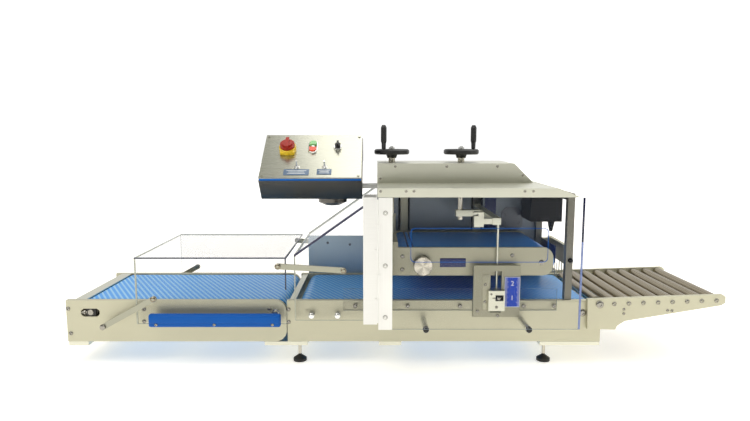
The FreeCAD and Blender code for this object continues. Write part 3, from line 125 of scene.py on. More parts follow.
class Nodes:
    """A tree of shader nodes, each added by one method."""

    def __init__(self, tree):
        self.tree = tree

    def node(self, kind, settings=None, sockets=None, output=0):
        """Adds a node: its settings first, then the values or links of its sockets."""
        added = self.tree.nodes.new(kind)
        for name, value in (settings or {}).items():
            if name == "stops":
                ramp = added.color_ramp.elements
                while len(ramp) < len(value):
                    ramp.new(0.5)
                for element, (position, colour) in zip(ramp, value):
                    element.position = position
                    element.color = (*colour, 1)
            else:
                setattr(added, name, value)
        for name, value in (sockets or {}).items():
            self.feed(added.inputs[name], value)
        return Wire(self, added.outputs[output]) if added.outputs else None

    def feed(self, socket, value):
        """Gives a socket a link, a value, or a colour of three numbers."""
        if isinstance(value, Wire):
            self.tree.links.new(value.socket, socket)
        else:
            socket.default_value = (*value, 1) if socket.type == "RGBA" else value

    def place(self, space="Object"):
        return self.node("ShaderNodeTexCoord", output=space)

    def parts(self, space="Object"):
        """The place's X, Y and Z."""
        split = self.node("ShaderNodeSeparateXYZ", sockets={0: self.place(space)})
        return [Wire(self, output) for output in split.socket.node.outputs]

    def noise(self, scale, detail=3.0, stretch=(1, 1, 1)):
        spread = self.node("ShaderNodeVectorMath", {"operation": "MULTIPLY"}, {0: self.place(), 1: stretch})
        return self.node("ShaderNodeTexNoise", sockets={"Vector": spread, "Scale": scale, "Detail": detail})

    def mix(self, factor, first, second, blend="MIX"):
        """Blends two colours."""
        settings = {"data_type": "RGBA", "blend_type": blend}
        return self.node("ShaderNodeMix", settings, {0: factor, 6: first, 7: second}, output=2)


class Finish(Nodes):
    """A material made of nodes, seen from its Principled shader."""

    def __init__(self, name, **constants):
        self.material = bpy.data.materials.new(name)
        self.material.use_nodes = True
        super().__init__(self.material.node_tree)
        self.shader = self.tree.nodes["Principled BSDF"]
        for socket, value in constants.items():
            self.set(socket, value)

    def set(self, socket, value):
        """Sets or links one socket of the shader."""
        self.feed(self.shader.inputs[socket.replace("_", " ")], value)

    def bump(self, height, strength, distance=0.001):
        sockets = {"Height": height, "Strength": strength, "Distance": distance}
        self.set("Normal", self.node("ShaderNodeBump", sockets=sockets))


def shade(tone, amount=1.0):
    """A display colour as a shader colour, made darker or lighter."""
    linear = (c / 12.92 if c <= 0.04045 else ((c + 0.055) / 1.055) ** 2.4 for c in tone)
    return tuple(min(1.0, amount * c) for c in linear)


def scaled(tone, amount):
    return tuple(c * amount for c in tone)


# Sizes and colours that a user may change

def colour(name, description, default):
    return FloatVectorProperty(name=name, description=description, default=default, size=3, min=0, max=1,
                               subtype="COLOR_GAMMA")


def length(name, description, default):
    return FloatProperty(name=name, description=description, default=default, min=0, unit="LENGTH",
                         subtype="DISTANCE", precision=4)


class SlicerColours(bpy.types.PropertyGroup):
    plate: colour("Plates", "Anodised conveyor plates", (0.80, 0.79, 0.70))
    steel: colour("Covers", "Brushed stainless covers", (0.86, 0.86, 0.80))
    bright: colour("Bright steel", "Rollers, rods and screws", (0.82, 0.80, 0.75))
    belt: colour("Belts", "Ribbed food belts", (0.13, 0.56, 0.88))
    # Painted highlight: the lighter colour laid on the tops of the belt's ribs.
    rib_highlight: colour("Belt ribs", "Tops of the belt's ribs", (0.56, 0.77, 0.90))
    blue: colour("Blue plastic", "Guard handle, gasket and scale", (0.00, 0.34, 0.68))
    yellow: colour("Yellow plastic", "Bezels on the lid", (0.88, 0.74, 0.10))
    red: colour("Red plastic", "Main switch knob", (0.62, 0.12, 0.05))
    green: colour("Green lens", "Start button", (0.46, 0.70, 0.44))
    orange: colour("Orange lens", "Stop button", (0.85, 0.26, 0.10))
    black: colour("Black plastic", "Handwheels, feet and knobs", (0.07, 0.07, 0.075))
    motor: colour("Motor paint", "Motors and gearbox", (0.02, 0.02, 0.022))
    clear: colour("Clear panes", "Acrylic panes", (0.34, 0.38, 0.46))
    edge: colour("Pane edges", "Cut edges of the panes", (0.62, 0.68, 0.70))
    floor: colour("Floor", "Studio floor", (0.97, 0.955, 0.925))


class SlicerSizes(bpy.types.PropertyGroup):
    head: length("Screw head", "Radius of a button head screw", 0.0062)
    head_rise: length("Screw head height", "Height of a button head screw", 0.0036)
    small_head: length("Small screw head", "Radius of a cover screw", 0.0042)
    hood_stud: length("Hood stud", "Radius of the domed studs under the hood", 0.009)
    rib_pitch: length("Belt rib pitch", "Distance between two ribs of a belt", 0.0165)
    wires: IntProperty(name="Comb wires", description="Wires hanging from the discharge bar",
                       default=9, min=2, max=20)
    lens: FloatProperty(name="Camera lens", description="Focal length of the camera", default=28.0,
                        unit="CAMERA", min=10, max=100)


def colours():
    return bpy.context.scene.slicer_colours


def sizes():
    return bpy.context.scene.slicer_sizes


# Finishes

def brushed(name, tone, rough, along, depth=0.10, metallic=1.0, clouds=0.10):
    """Brushed or ground metal, its lines running along one axis."""
    finish = Finish(name, Metallic=metallic)
    stretch = tuple(1.5 if axis == along else 900 for axis in "XYZ")
    lines = finish.noise(1.0, 2.0, stretch)
    patches = finish.noise(7.0, 4.0)
    finish.set("Base Color", finish.mix(lines * 0.45 + patches * 0.55, shade(tone, 1 - clouds * 2),
                                        shade(tone, 1 + clouds)))
    finish.set("Roughness", rough - 0.06 + lines * 0.10 + patches * 0.05)
    finish.bump(lines, depth, 0.0003)
    return finish.material


def anodised(name, tone):
    """Matt anodised aluminium plate with a fine even grain."""
    finish = Finish(name, Metallic=0.72, Specular_IOR_Level=0.5)
    grain = finish.noise(1400.0, 2.0)
    patches = finish.noise(3.5, 3.0, (0.6, 1, 2.5))
    wear = grain * 0.35 + patches * 0.65
    finish.set("Base Color", finish.mix(wear, shade(tone, 0.80), shade(tone, 1.06)))
    finish.set("Roughness", 0.40 + grain * 0.08 + patches * 0.06)
    finish.bump(grain, 0.06, 0.0002)
    return finish.material


def belt(name, tone, rib_highlight_tone, pitch):
    """Food belt with fine slanting ribs, their tops painted lighter as a highlight."""
    finish = Finish(name, Specular_IOR_Level=0.45, Coat_Weight=0.10, Coat_Roughness=0.25)
    across, deep, high = finish.parts()
    phase = ((across + deep * 0.62 + high * 0.4) / pitch) % 1.0
    ridge = 1.0 - abs(phase - 0.5) * 2.0
    top = ((ridge - 0.45) * 3.5).limited()
    wear = finish.noise(14.0, 4.0)
    weave = finish.noise(900.0, 2.0)
    # Painted highlight: the rib tops take the lighter rib colour, more strongly in some worn patches than in
    # others.
    finish.set("Base Color", finish.mix(top * (0.62 + wear * 0.35), shade(tone), shade(rib_highlight_tone)))
    finish.set("Roughness", 0.36 + wear * 0.10 - top * 0.06)
    finish.bump(top + weave * 0.25, 0.25, 0.0006)
    return finish.material


def moulded(name, tone, rough=0.42, grain=0.10, coat=0.0, gloss=0.5):
    """Moulded plastic or paint with a fine skin."""
    finish = Finish(name, Specular_IOR_Level=gloss, Coat_Weight=coat, Coat_Roughness=0.15)
    skin = finish.noise(1100.0, 2.0)
    patches = finish.noise(25.0, 3.0)
    finish.set("Base Color", finish.mix(skin * 0.4 + patches * 0.6, shade(tone, 0.86), shade(tone, 1.10)))
    finish.set("Roughness", rough - 0.05 + patches * 0.10)
    finish.bump(skin, grain, 0.0003)
    return finish.material


def acrylic(name, tone, body, edge_gain):
    """Clear sheet: almost nothing seen straight on, a sheen at a slant."""
    finish = Finish(name, Roughness=0.04, Specular_IOR_Level=0.6)
    slant = finish.node("ShaderNodeLayerWeight", sockets={"Blend": 0.35}, output="Fresnel")
    smears = finish.noise(9.0, 4.0, (1, 1, 0.5))
    finish.set("Base Color", finish.mix(smears, shade(tone, 0.92), shade(tone)))
    finish.set("Roughness", 0.03 + smears * 0.05)
    finish.set("Alpha", body + slant * edge_gain + smears * 0.015)
    return finish.material


def split(name, axis, where, first, second, rough, metallic):
    """Brushed steel with one tone below a level along an axis and another above it."""
    finish = Finish(name, Metallic=metallic)
    along = dict(zip("XYZ", finish.parts()))[axis]
    lines = finish.noise(1.0, 2.0, (5, 700, 700))
    patches = finish.noise(7.0, 4.0)
    tone = finish.mix(along > where, shade(first), shade(second))
    wear = finish.mix(lines * 0.5 + patches * 0.5, (0.55, 0.55, 0.55), (1, 1, 1))
    finish.set("Base Color", finish.mix(0.35, tone, wear, "MULTIPLY"))
    finish.set("Roughness", rough - 0.06 + lines * 0.10 + patches * 0.05)
    finish.bump(lines, 0.08, 0.0003)
    return finish.material


def wheel(name, tone, steel, level, above=False):
    """Black moulding on a steel spindle, which shows below a level, or above it."""
    finish = Finish(name)
    high = finish.parts()[2]
    metal = high > level if above else high < level
    skin = finish.noise(1100.0, 2.0)
    patches = finish.noise(30.0, 3.0)
    finish.set("Base Color", finish.mix(metal, finish.mix(patches, shade(tone, 0.8), shade(tone, 1.3)),
                                        finish.mix(patches, shade(steel, 0.8), shade(steel))))
    finish.set("Metallic", metal)
    finish.set("Roughness", 0.42 - metal * 0.20 + patches * 0.06)
    finish.bump(skin * (1.0 - metal), 0.12, 0.0003)
    return finish.material


def faced(name, tone, node):
    """Steel faced on a lathe, with fine rings round the piece's own axis and painted highlight and shade in four
    fans round it.
    """
    centre = middle(node)
    finish = Finish(name, Metallic=1.0)
    across, _, level = finish.parts()
    across = across - centre.x
    level = level - centre.z
    reach = (across * across + level * level) ** 0.5
    rings = (reach * 5200.0).sine()
    turn = across.math("ARCTAN2", level, across)
    # Painted highlight and shade: four bright and four dark fans round the axis stand in for the light that the
    # turned face catches.
    painted_highlight_fans = (turn * 4.0 + 0.6).sine()
    patches = finish.noise(60.0, 3.0)
    shine = painted_highlight_fans * 0.30 + 0.5 + patches * 0.2
    finish.set("Base Color", finish.mix(shine, shade(tone, 0.42), shade(tone, 1.05)))
    finish.set("Roughness", 0.24 + patches * 0.08)
    finish.bump(rings, 0.10, 0.0002)
    return finish.material


def lens(name, tone):
    """Moulded translucent lens of a push button, with a faint painted glow."""
    finish = Finish(name, Coat_Weight=0.5, Coat_Roughness=0.08, Subsurface_Weight=0.2)
    depth = finish.noise(160.0, 2.0)
    finish.set("Base Color", finish.mix(depth, shade(tone, 0.75), shade(tone, 1.25)))
    finish.set("Roughness", 0.22 + depth * 0.12)
    # Painted glow: the lens gives off a faint light in its own tone, mottled by the noise.
    finish.set("Emission Color", finish.mix(depth, shade(tone, 0.6), shade(tone)))
    finish.set("Emission Strength", 0.12)
    return finish.material


def make_finishes():
    """Every finish by its name."""
    tones = colours()
    return {
        "plate": anodised("plate_anodised", tones.plate),
        "frame_plate": anodised("blade_frame_anodised", scaled(tones.plate, 0.82)),
        "unit_plate": anodised("upper_unit_anodised", scaled(tones.plate, 0.90)),
        "steel": brushed("cover_brushed", tones.steel, 0.34, "X"),
        # Painted shade: the lid is the cover steel made darker, to hold down the key light that its tilted face
        # catches.
        "lid_steel_painted_shade": brushed("lid_brushed_painted_shade", scaled(tones.steel, 0.86), 0.26, "X", clouds=0.06),
        "upright": brushed("column_brushed", (0.95, 0.95, 0.94), 0.42, "Z", metallic=0.55),
        "posts": split("posts_brushed", "X", 0.40, (0.95, 0.95, 0.94), (0.50, 0.49, 0.45), 0.42, 0.6),
        "wheel": wheel("handwheel_black", tones.black, tones.bright, 0.600),
        "foot": wheel("foot_black", (0.06, 0.06, 0.06), tones.bright, 0.022, above=True),
        "knob": faced("knob_faced", tones.bright, "tension_knob"),
        # Painted reflection: the lighter bluish tone left of X = -0.055 stands in for the hood pane's reflection
        # seen over the wall; grey beyond.
        "wall": split("rear_wall_brushed_painted_reflection", "X", -0.055, (0.70, 0.77, 0.82), (0.52, 0.55, 0.58),
                      0.42, 0.8),
        # Painted shade: a dark steel for the control enclosure and its swivel hub, standing in for the shade under
        # the box.
        "box": brushed("enclosure_brushed_painted_shade", (0.42, 0.41, 0.39), 0.28, "X"),
        "dull": brushed("hatch_brushed", (0.44, 0.45, 0.47), 0.40, "X"),
        "link": brushed("link_brushed", (0.66, 0.66, 0.60), 0.36, "X"),
        "bright": brushed("ground_steel", tones.bright, 0.20, "Z", 0.05),
        "turned": brushed("turned_steel", tones.bright, 0.24, "Y", 0.05),
        "roller": brushed("roller_steel", (0.62, 0.58, 0.50), 0.26, "Y", 0.05),
        "chrome": brushed("chromed_rod", (0.94, 0.94, 0.93), 0.18, "Y", 0.03, metallic=0.9),
        "screw": brushed("screw_steel", (0.62, 0.61, 0.58), 0.24, "Y", 0.04),
        "pin": brushed("pin_steel", (0.56, 0.52, 0.46), 0.22, "Y", 0.04),
        "blade": brushed("blade_ground", (0.86, 0.87, 0.87), 0.18, "Y", 0.12),
        "belt": belt("belt_blue", tones.belt, tones.rib_highlight, sizes().rib_pitch),
        # Painted shade: the upper belt is the same belt in darker tones, for the shade inside the housing.
        "upper_belt": belt("belt_blue_upper_painted_shade", (0.10, 0.48, 0.88), (0.34, 0.64, 0.92), sizes().rib_pitch),
        "scale": moulded("scale_blue", (0.10, 0.27, 0.76), 0.45, 0.04, 0.1, 0.3),
        "blue": moulded("plastic_blue", tones.blue, 0.50, 0.08, 0.0, 0.22),
        "gasket": moulded("gasket_blue", (0.10, 0.42, 0.78), 0.60, 0.15, 0.0, 0.25),
        "navy": moulded("plastic_navy", (0.07, 0.13, 0.38), 0.35, 0.05, 0.2),
        "yellow": moulded("plastic_yellow", tones.yellow, 0.38, 0.06, 0.2),
        "red": moulded("plastic_red", tones.red, 0.35, 0.06, 0.2),
        "black": moulded("plastic_black", tones.black, 0.40, 0.12, 0.1),
        "motor": moulded("motor_black", tones.motor, 0.45, 0.30, 0.0, 0.25),
        # Painted blue sheen on the lower part of the door's right edge.
        "edge_painted_blue_sheen": acrylic("acrylic_edge_painted_blue_sheen", (0.58, 0.66, 0.90), 0.70, 0.20),
        "white": moulded("print_white", (0.93, 0.94, 0.93), 0.5, 0.03),
        "label": moulded("label_grey_blue", (0.36, 0.44, 0.54), 0.42, 0.03, 0.2),
        "green": lens("lens_green", tones.green),
        "orange": lens("lens_orange", tones.orange),
        "pale_lens": lens("lens_white", (0.95, 0.96, 0.92)),
        "clear": acrylic("acrylic_clear", tones.clear, 0.020, 0.22),
        "edge": acrylic("acrylic_edge", tones.edge, 0.50, 0.30),
        # Painted highlight and painted shade: cream and navy strips laid on chosen edges of the clear panes.
        "edge_painted_highlight": acrylic("acrylic_edge_painted_highlight", (0.86, 0.87, 0.80), 0.75, 0.20),
        "edge_painted_shade": acrylic("acrylic_edge_painted_shade", (0.05, 0.07, 0.27), 0.97, 0.03),
    }


FINISHES = {}
SLOT_FINISH = {
    "anodised_plate": "plate", "stainless": "steel", "bright_steel": "bright", "blade_steel": "blade",
    "blue_belt": "belt", "blue_plastic": "blue", "clear_acrylic": "clear", "black_plastic": "black",
    "motor_paint": "motor", "yellow_plastic": "yellow", "red_plastic": "red", "orange_lens": "orange",
    "green_lens": "green", "toggle_steel": "chrome",
}
NODE_FINISH = {
    # The lid, the control enclosure and the swivel hub take steels darkened as painted shade; the rear wall takes
    # a painted reflection.
    "box_lid": "lid_steel_painted_shade", "box_gasket": "gasket", "control_enclosure": "box", "swivel_hub": "box",
    "door_strip": "upright", "housing_posts": "posts", "rear_panels": "wall", "blade_frame": "frame_plate",
    "upper_unit_frame": "unit_plate", "upper_belt": "upper_belt", "guard_stays": "link", "guard_arms": "link",
    "scale_plate": "scale", "levelling_feet": "foot", "left_handwheel": "wheel", "right_handwheel": "wheel",
    "discharge_bar": "plate", "tension_knob": "knob",
    **{f"{belt_part}_{end}_pulley": "turned" for belt_part in ("infeed", "main", "upper")
       for end in ("tail", "drive")},
    **{f"track_roller_{count}": "roller" for count in range(1, 10)},
}
SOFT_EDGES = {
    "infeed_side_plates": 0.8, "main_side_plates": 0.8, "cross_members": 0.6, "upper_cover": 1.4,
    "lower_covers": 1.4, "housing_posts": 0.8, "blade_frame": 0.8, "blade_carriage": 0.8,
    "upper_unit_frame": 0.8, "discharge_bar": 1.0, "drive_motors": 2.5, "box_lid": 1.5,
    "control_enclosure": 2.0, "scale_plate": 0.5, "rear_panels": 0.5, "conveyor_beds": 0.5,
}


# Shapes

class Shape:
    """A mesh being made from blocks, turned solids and cut plates."""

    def __init__(self):
        self.mesh = bmesh.new()

    def add(self, part, material=None):
        """Joins a part to the mesh. Without a material its faces keep the ones they have."""
        if material is not None:
            for face in part.faces:
                face.material_index = material
        kept = bpy.data.meshes.new("part")
        part.to_mesh(kept)
        part.free()
        self.mesh.from_mesh(kept)
        bpy.data.meshes.remove(kept)

    def block(self, low, high, edge=0.0, material=0, spin=None):
        """A block between two corners with rounded edges, turned about its middle by spin."""
        low, high = Vector(low), Vector(high)
        part = bmesh.new()
        bmesh.ops.create_cube(part, size=1.0)
        bmesh.ops.scale(part, vec=high - low, verts=part.verts)
        if edge:
            bmesh.ops.bevel(part, geom=part.edges[:], offset=edge, segments=3, profile=0.5, affect="EDGES")
        if spin:
            bmesh.ops.transform(part, matrix=spin, verts=part.verts)
        bmesh.ops.translate(part, vec=(low + high) / 2, verts=part.verts)
        self.add(part, material)

    def turned(self, at, axis, rings, sides=24, material=0, spread=0.0):
        """A solid turned about an axis: rings of (radius, height, flats), where 6 flats give a hexagon.
        Spread draws it out into a long round-ended shape."""
        turn = Vector(axis).normalized().to_track_quat("Z", "Y").to_matrix().to_4x4()
        part = bmesh.new()
        loops = []
        for radius, height, *flats in rings:
            loop = []
            for step in range(sides):
                angle = 2 * math.pi * (step + 0.5) / sides
                reach = radius
                if flats:
                    wedge = 2 * math.pi / flats[0]
                    reach = radius / math.cos((angle % wedge) - wedge / 2)
                rise = reach * math.sin(angle) + math.copysign(spread, math.sin(angle))
                loop.append(part.verts.new((reach * math.cos(angle), rise, height)))
            loops.append(loop)
        for below, above in zip(loops, loops[1:]):
            for step in range(sides):
                after = (step + 1) % sides
                part.faces.new((below[step], below[after], above[after], above[step]))
        part.faces.new(reversed(loops[0]))
        part.faces.new(loops[-1])
        bmesh.ops.transform(part, matrix=Matrix.Translation(at) @ turn, verts=part.verts)
        self.add(part, material)

    def pair(self, at, rings, sides=24, material=0):
        """A solid turned about Y on both sides of the machine."""
        for side in BOTH:
            self.turned((at[0], side * at[1], at[2]), (0, side, 0), rings, sides, material)

    def sheet(self, outline, start, thickness, face=0, rim=1):
        """A plate cut to an outline in X and Z, its faces and its cut edge in two finishes."""
        part = bmesh.new()
        front = part.faces.new([part.verts.new((x, start, z)) for x, z in outline])
        moved = bmesh.ops.extrude_face_region(part, geom=[front])["geom"]
        moved = [vertex for vertex in moved if isinstance(vertex, bmesh.types.BMVert)]
        bmesh.ops.translate(part, vec=(0, thickness, 0), verts=moved)
        bmesh.ops.recalc_face_normals(part, faces=part.faces)
        for found in part.faces:
            found.material_index = face if abs(found.normal.y) > 0.9 else rim
        self.add(part)

    def screw(self, at, axis, radius, rise, material=0):
        """A button head with a hexagon socket."""
        dome = [(1, 0), (1, 0.22), (0.93, 0.50), (0.76, 0.80), (0.55, 1), (0.44, 1)]
        socket = [(0.40, 1, 6), (0.38, 0.35, 6)]
        rings = [(radius * share, rise * level, *flats) for share, level, *flats in dome + socket]
        self.turned(at, axis, rings + [(TINY, rise * 0.30)], material=material)

    def screws(self, side, y, places, radius, rise):
        """Button heads facing along Y, their places given as X and Z."""
        for x, z in places:
            self.screw((x, y, z), (0, side, 0), radius, rise)

    def piece(self, name, node, finishes, slot, replaces=()):
        """Makes the object and gives it to the body that carries the named node."""
        data = bpy.data.meshes.new(name)
        self.mesh.to_mesh(data)
        self.mesh.free()
        for polygon in data.polygons:
            polygon.use_smooth = True
        data.set_sharp_from_angle(angle=math.radians(38))
        made = show(name, data)
        for finish in finishes:
            data.materials.append(FINISHES[finish])
        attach(made, BODY_OF[node])
        if replaces:
            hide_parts(*replaces)


def show(name, data):
    """Puts a mesh or a light into the scene."""
    made = bpy.data.objects.new(name, data)
    bpy.context.scene.collection.objects.link(made)
    return made


def lettering(name, text, size, at, turn, node, finish):
    """Flat printed figures, as a mesh."""
    curve = bpy.data.curves.new(name + "_curve", "FONT")
    curve.body = text
    curve.size = size
    curve.align_x = "CENTER"
    curve.align_y = "CENTER"
    curve.extrude = 0.2 * MM
    drawn = show(name + "_curve", curve)
    data = bpy.data.meshes.new_from_object(drawn.evaluated_get(bpy.context.evaluated_depsgraph_get()))
    bpy.data.objects.remove(drawn)
    data.materials.clear()
    data.materials.append(FINISHES[finish])
    made = show(name, data)
    made.matrix_world = Matrix.Translation(at) @ turn
    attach(made, BODY_OF[node])


def middle(node):
    """The middle of a node's box."""
    low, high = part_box(node)
    return (low + high) / 2


def oblong(left, right, bottom, top):
    """The corners of an upright rectangle, as X and Z."""
    return [(left, bottom), (right, bottom), (right, top), (left, top)]


def lid_place():
    """The control lid's own frame, from the middle of its lower edge: X across, Y up its face, Z out of it."""
    low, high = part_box("box_lid")
    _, back, up = JOINTS["main_switch_turn"]["axis"]
    tilt = math.atan2(-back, up)
    thick = (high.z - low.z - LID_DEPTH * math.sin(tilt)) / math.cos(tilt)
    foot = Vector(((low.x + high.x) / 2, low.y, low.z + thick * math.cos(tilt)))
    return Matrix.Translation(foot) @ Matrix.Rotation(tilt, 4, "X")


def lid_point(joint):
    """Where a control's joint stands on the lid's face, in the lid's own frame."""
    x, y, _ = lid_place().inverted() @ Vector(JOINTS[joint]["pos_m"])
    return Vector((x, y, 0))


class SlicerStep(bpy.types.Operator):
    """One step of the looks."""

    bl_options = {"REGISTER", "UNDO"}

    def execute(self, context):
        self.make()
        return {"FINISHED"}


class SLICER_OT_stage(SlicerStep):
    """Floor, studio light and camera"""

    bl_idname = "slicer.stage"
    bl_label = "Stage"

    def make(self):
        reach = 14.0
        floor = bpy.data.meshes.new("studio_floor")
        corners = [(x, y, 0) for x, y in oblong(-reach, reach, -reach, reach)]
        floor.from_pydata(corners, [], [(0, 1, 2, 3)])
        plane = show("studio_floor", floor)
        plane.location.z = -0.5 * MM
        paint = Finish("studio_floor", Roughness=0.9, Specular_IOR_Level=0.1, Emission_Strength=1.0)
        across, deep, _ = paint.parts()
        # The floor glows as painted light: about half strength within 1.2 m of the middle, so the lamps' shadows
        # show there, rising to full white 3.4 m out.
        dim_reach, fade = 1.2, 2.2
        away = ((across * across + deep * deep) ** 0.5 - dim_reach) / fade
        paint.set("Base Color", shade(colours().floor))
        paint.set("Emission Color", paint.mix(away.limited(), (0.48, 0.475, 0.46), (1.0, 1.0, 1.0)))
        floor.materials.append(paint.material)
        self.light_room()
        self.hang("key", (-1.6, -1.6, 2.6), (0.0, 0.0, 0.25), 2.2, 42)
        self.hang("top", (1.0, 0.2, 2.8), (0.6, 0.0, 0.2), 2.6, 50)
        self.hang("side", (2.6, -0.9, 1.4), (0.3, 0.0, 0.3), 1.4, 12)
        self.set_camera()

    def light_room(self):
        """Bright overhead and behind, dim round the sides, and plain white to look at."""
        world = bpy.data.worlds.new("studio")
        bpy.context.scene.world = world
        world.use_nodes = True
        world.node_tree.nodes.clear()
        room = Nodes(world.node_tree)
        _, deep, high = room.parts("Generated")
        above = [(0.0, (0.12, 0.12, 0.11)), (0.35, (0.20, 0.20, 0.19)), (0.62, (0.40, 0.40, 0.38)),
                 (1.0, (0.46, 0.46, 0.43))]
        behind = [(0.05, (0, 0, 0)), (0.60, (0.86, 0.86, 0.85))]
        above = room.node("ShaderNodeValToRGB", {"stops": above}, {0: high})
        behind = room.node("ShaderNodeValToRGB", {"stops": behind}, {0: deep})
        both = room.mix(1.0, above, behind, "LIGHTEN")
        lit = room.node("ShaderNodeBackground", sockets={"Color": both})
        white = room.node("ShaderNodeBackground", sockets={"Color": (1, 1, 1), "Strength": 1.05})
        seen = room.node("ShaderNodeLightPath", output="Is Camera Ray")
        shown = room.node("ShaderNodeMixShader", sockets={0: seen, 1: lit, 2: white})
        room.node("ShaderNodeOutputWorld", sockets={"Surface": shown})

    def hang(self, name, at, towards, size, power):
        """A soft square light."""
        lamp = bpy.data.lights.new(name, "AREA")
        lamp.size = size
        lamp.energy = power
        lamp.color = (1.0, 0.985, 0.95)
        hung = show(name, lamp)
        hung.location = at
        hung.rotation_euler = (Vector(towards) - Vector(at)).to_track_quat("-Z", "Y").to_euler()

    def set_camera(self):
        view = bpy.data.cameras.new("camera")
        view.lens = sizes().lens
        view.sensor_width = 36.0
        view.clip_start = 0.02
        view.clip_end = 60.0
        camera = show("camera", view)
        downwards = 7.18
        camera.location = (-0.056, -1.825, 0.665)
        camera.rotation_euler = (math.radians(90 - downwards), 0, 0)
        bpy.context.scene.camera = camera
        bpy.context.scene.view_settings.view_transform = "Standard"


class SLICER_OT_finishes(SlicerStep):
    """Finishes and softened edges of the frame's own pieces"""

    bl_idname = "slicer.finishes"
    bl_label = "Finishes"

    def make(self):
        FINISHES.update(make_finishes())
        for name, node in NODES.items():
            for slot in node.material_slots:
                kind = slot.material.name.split(".")[0] if slot.material else ""
                if kind not in SLOT_FINISH:
                    raise RuntimeError(f"no finish for slot {kind} of {name}")
                slot.material = FINISHES[NODE_FINISH.get(name, SLOT_FINISH[kind])]
            if name in SOFT_EDGES:
                self.soften(node, SOFT_EDGES[name] / 1000)

    def soften(self, node, width):
        weld = node.modifiers.new("weld", "WELD")
        weld.merge_threshold = 1e-6
        edge = node.modifiers.new("edge", "BEVEL")
        edge.width = width
        edge.segments = 2
        edge.limit_method = "ANGLE"
        edge.angle_limit = math.radians(40)
        even = node.modifiers.new("even", "WEIGHTED_NORMAL")
        even.keep_sharp = False


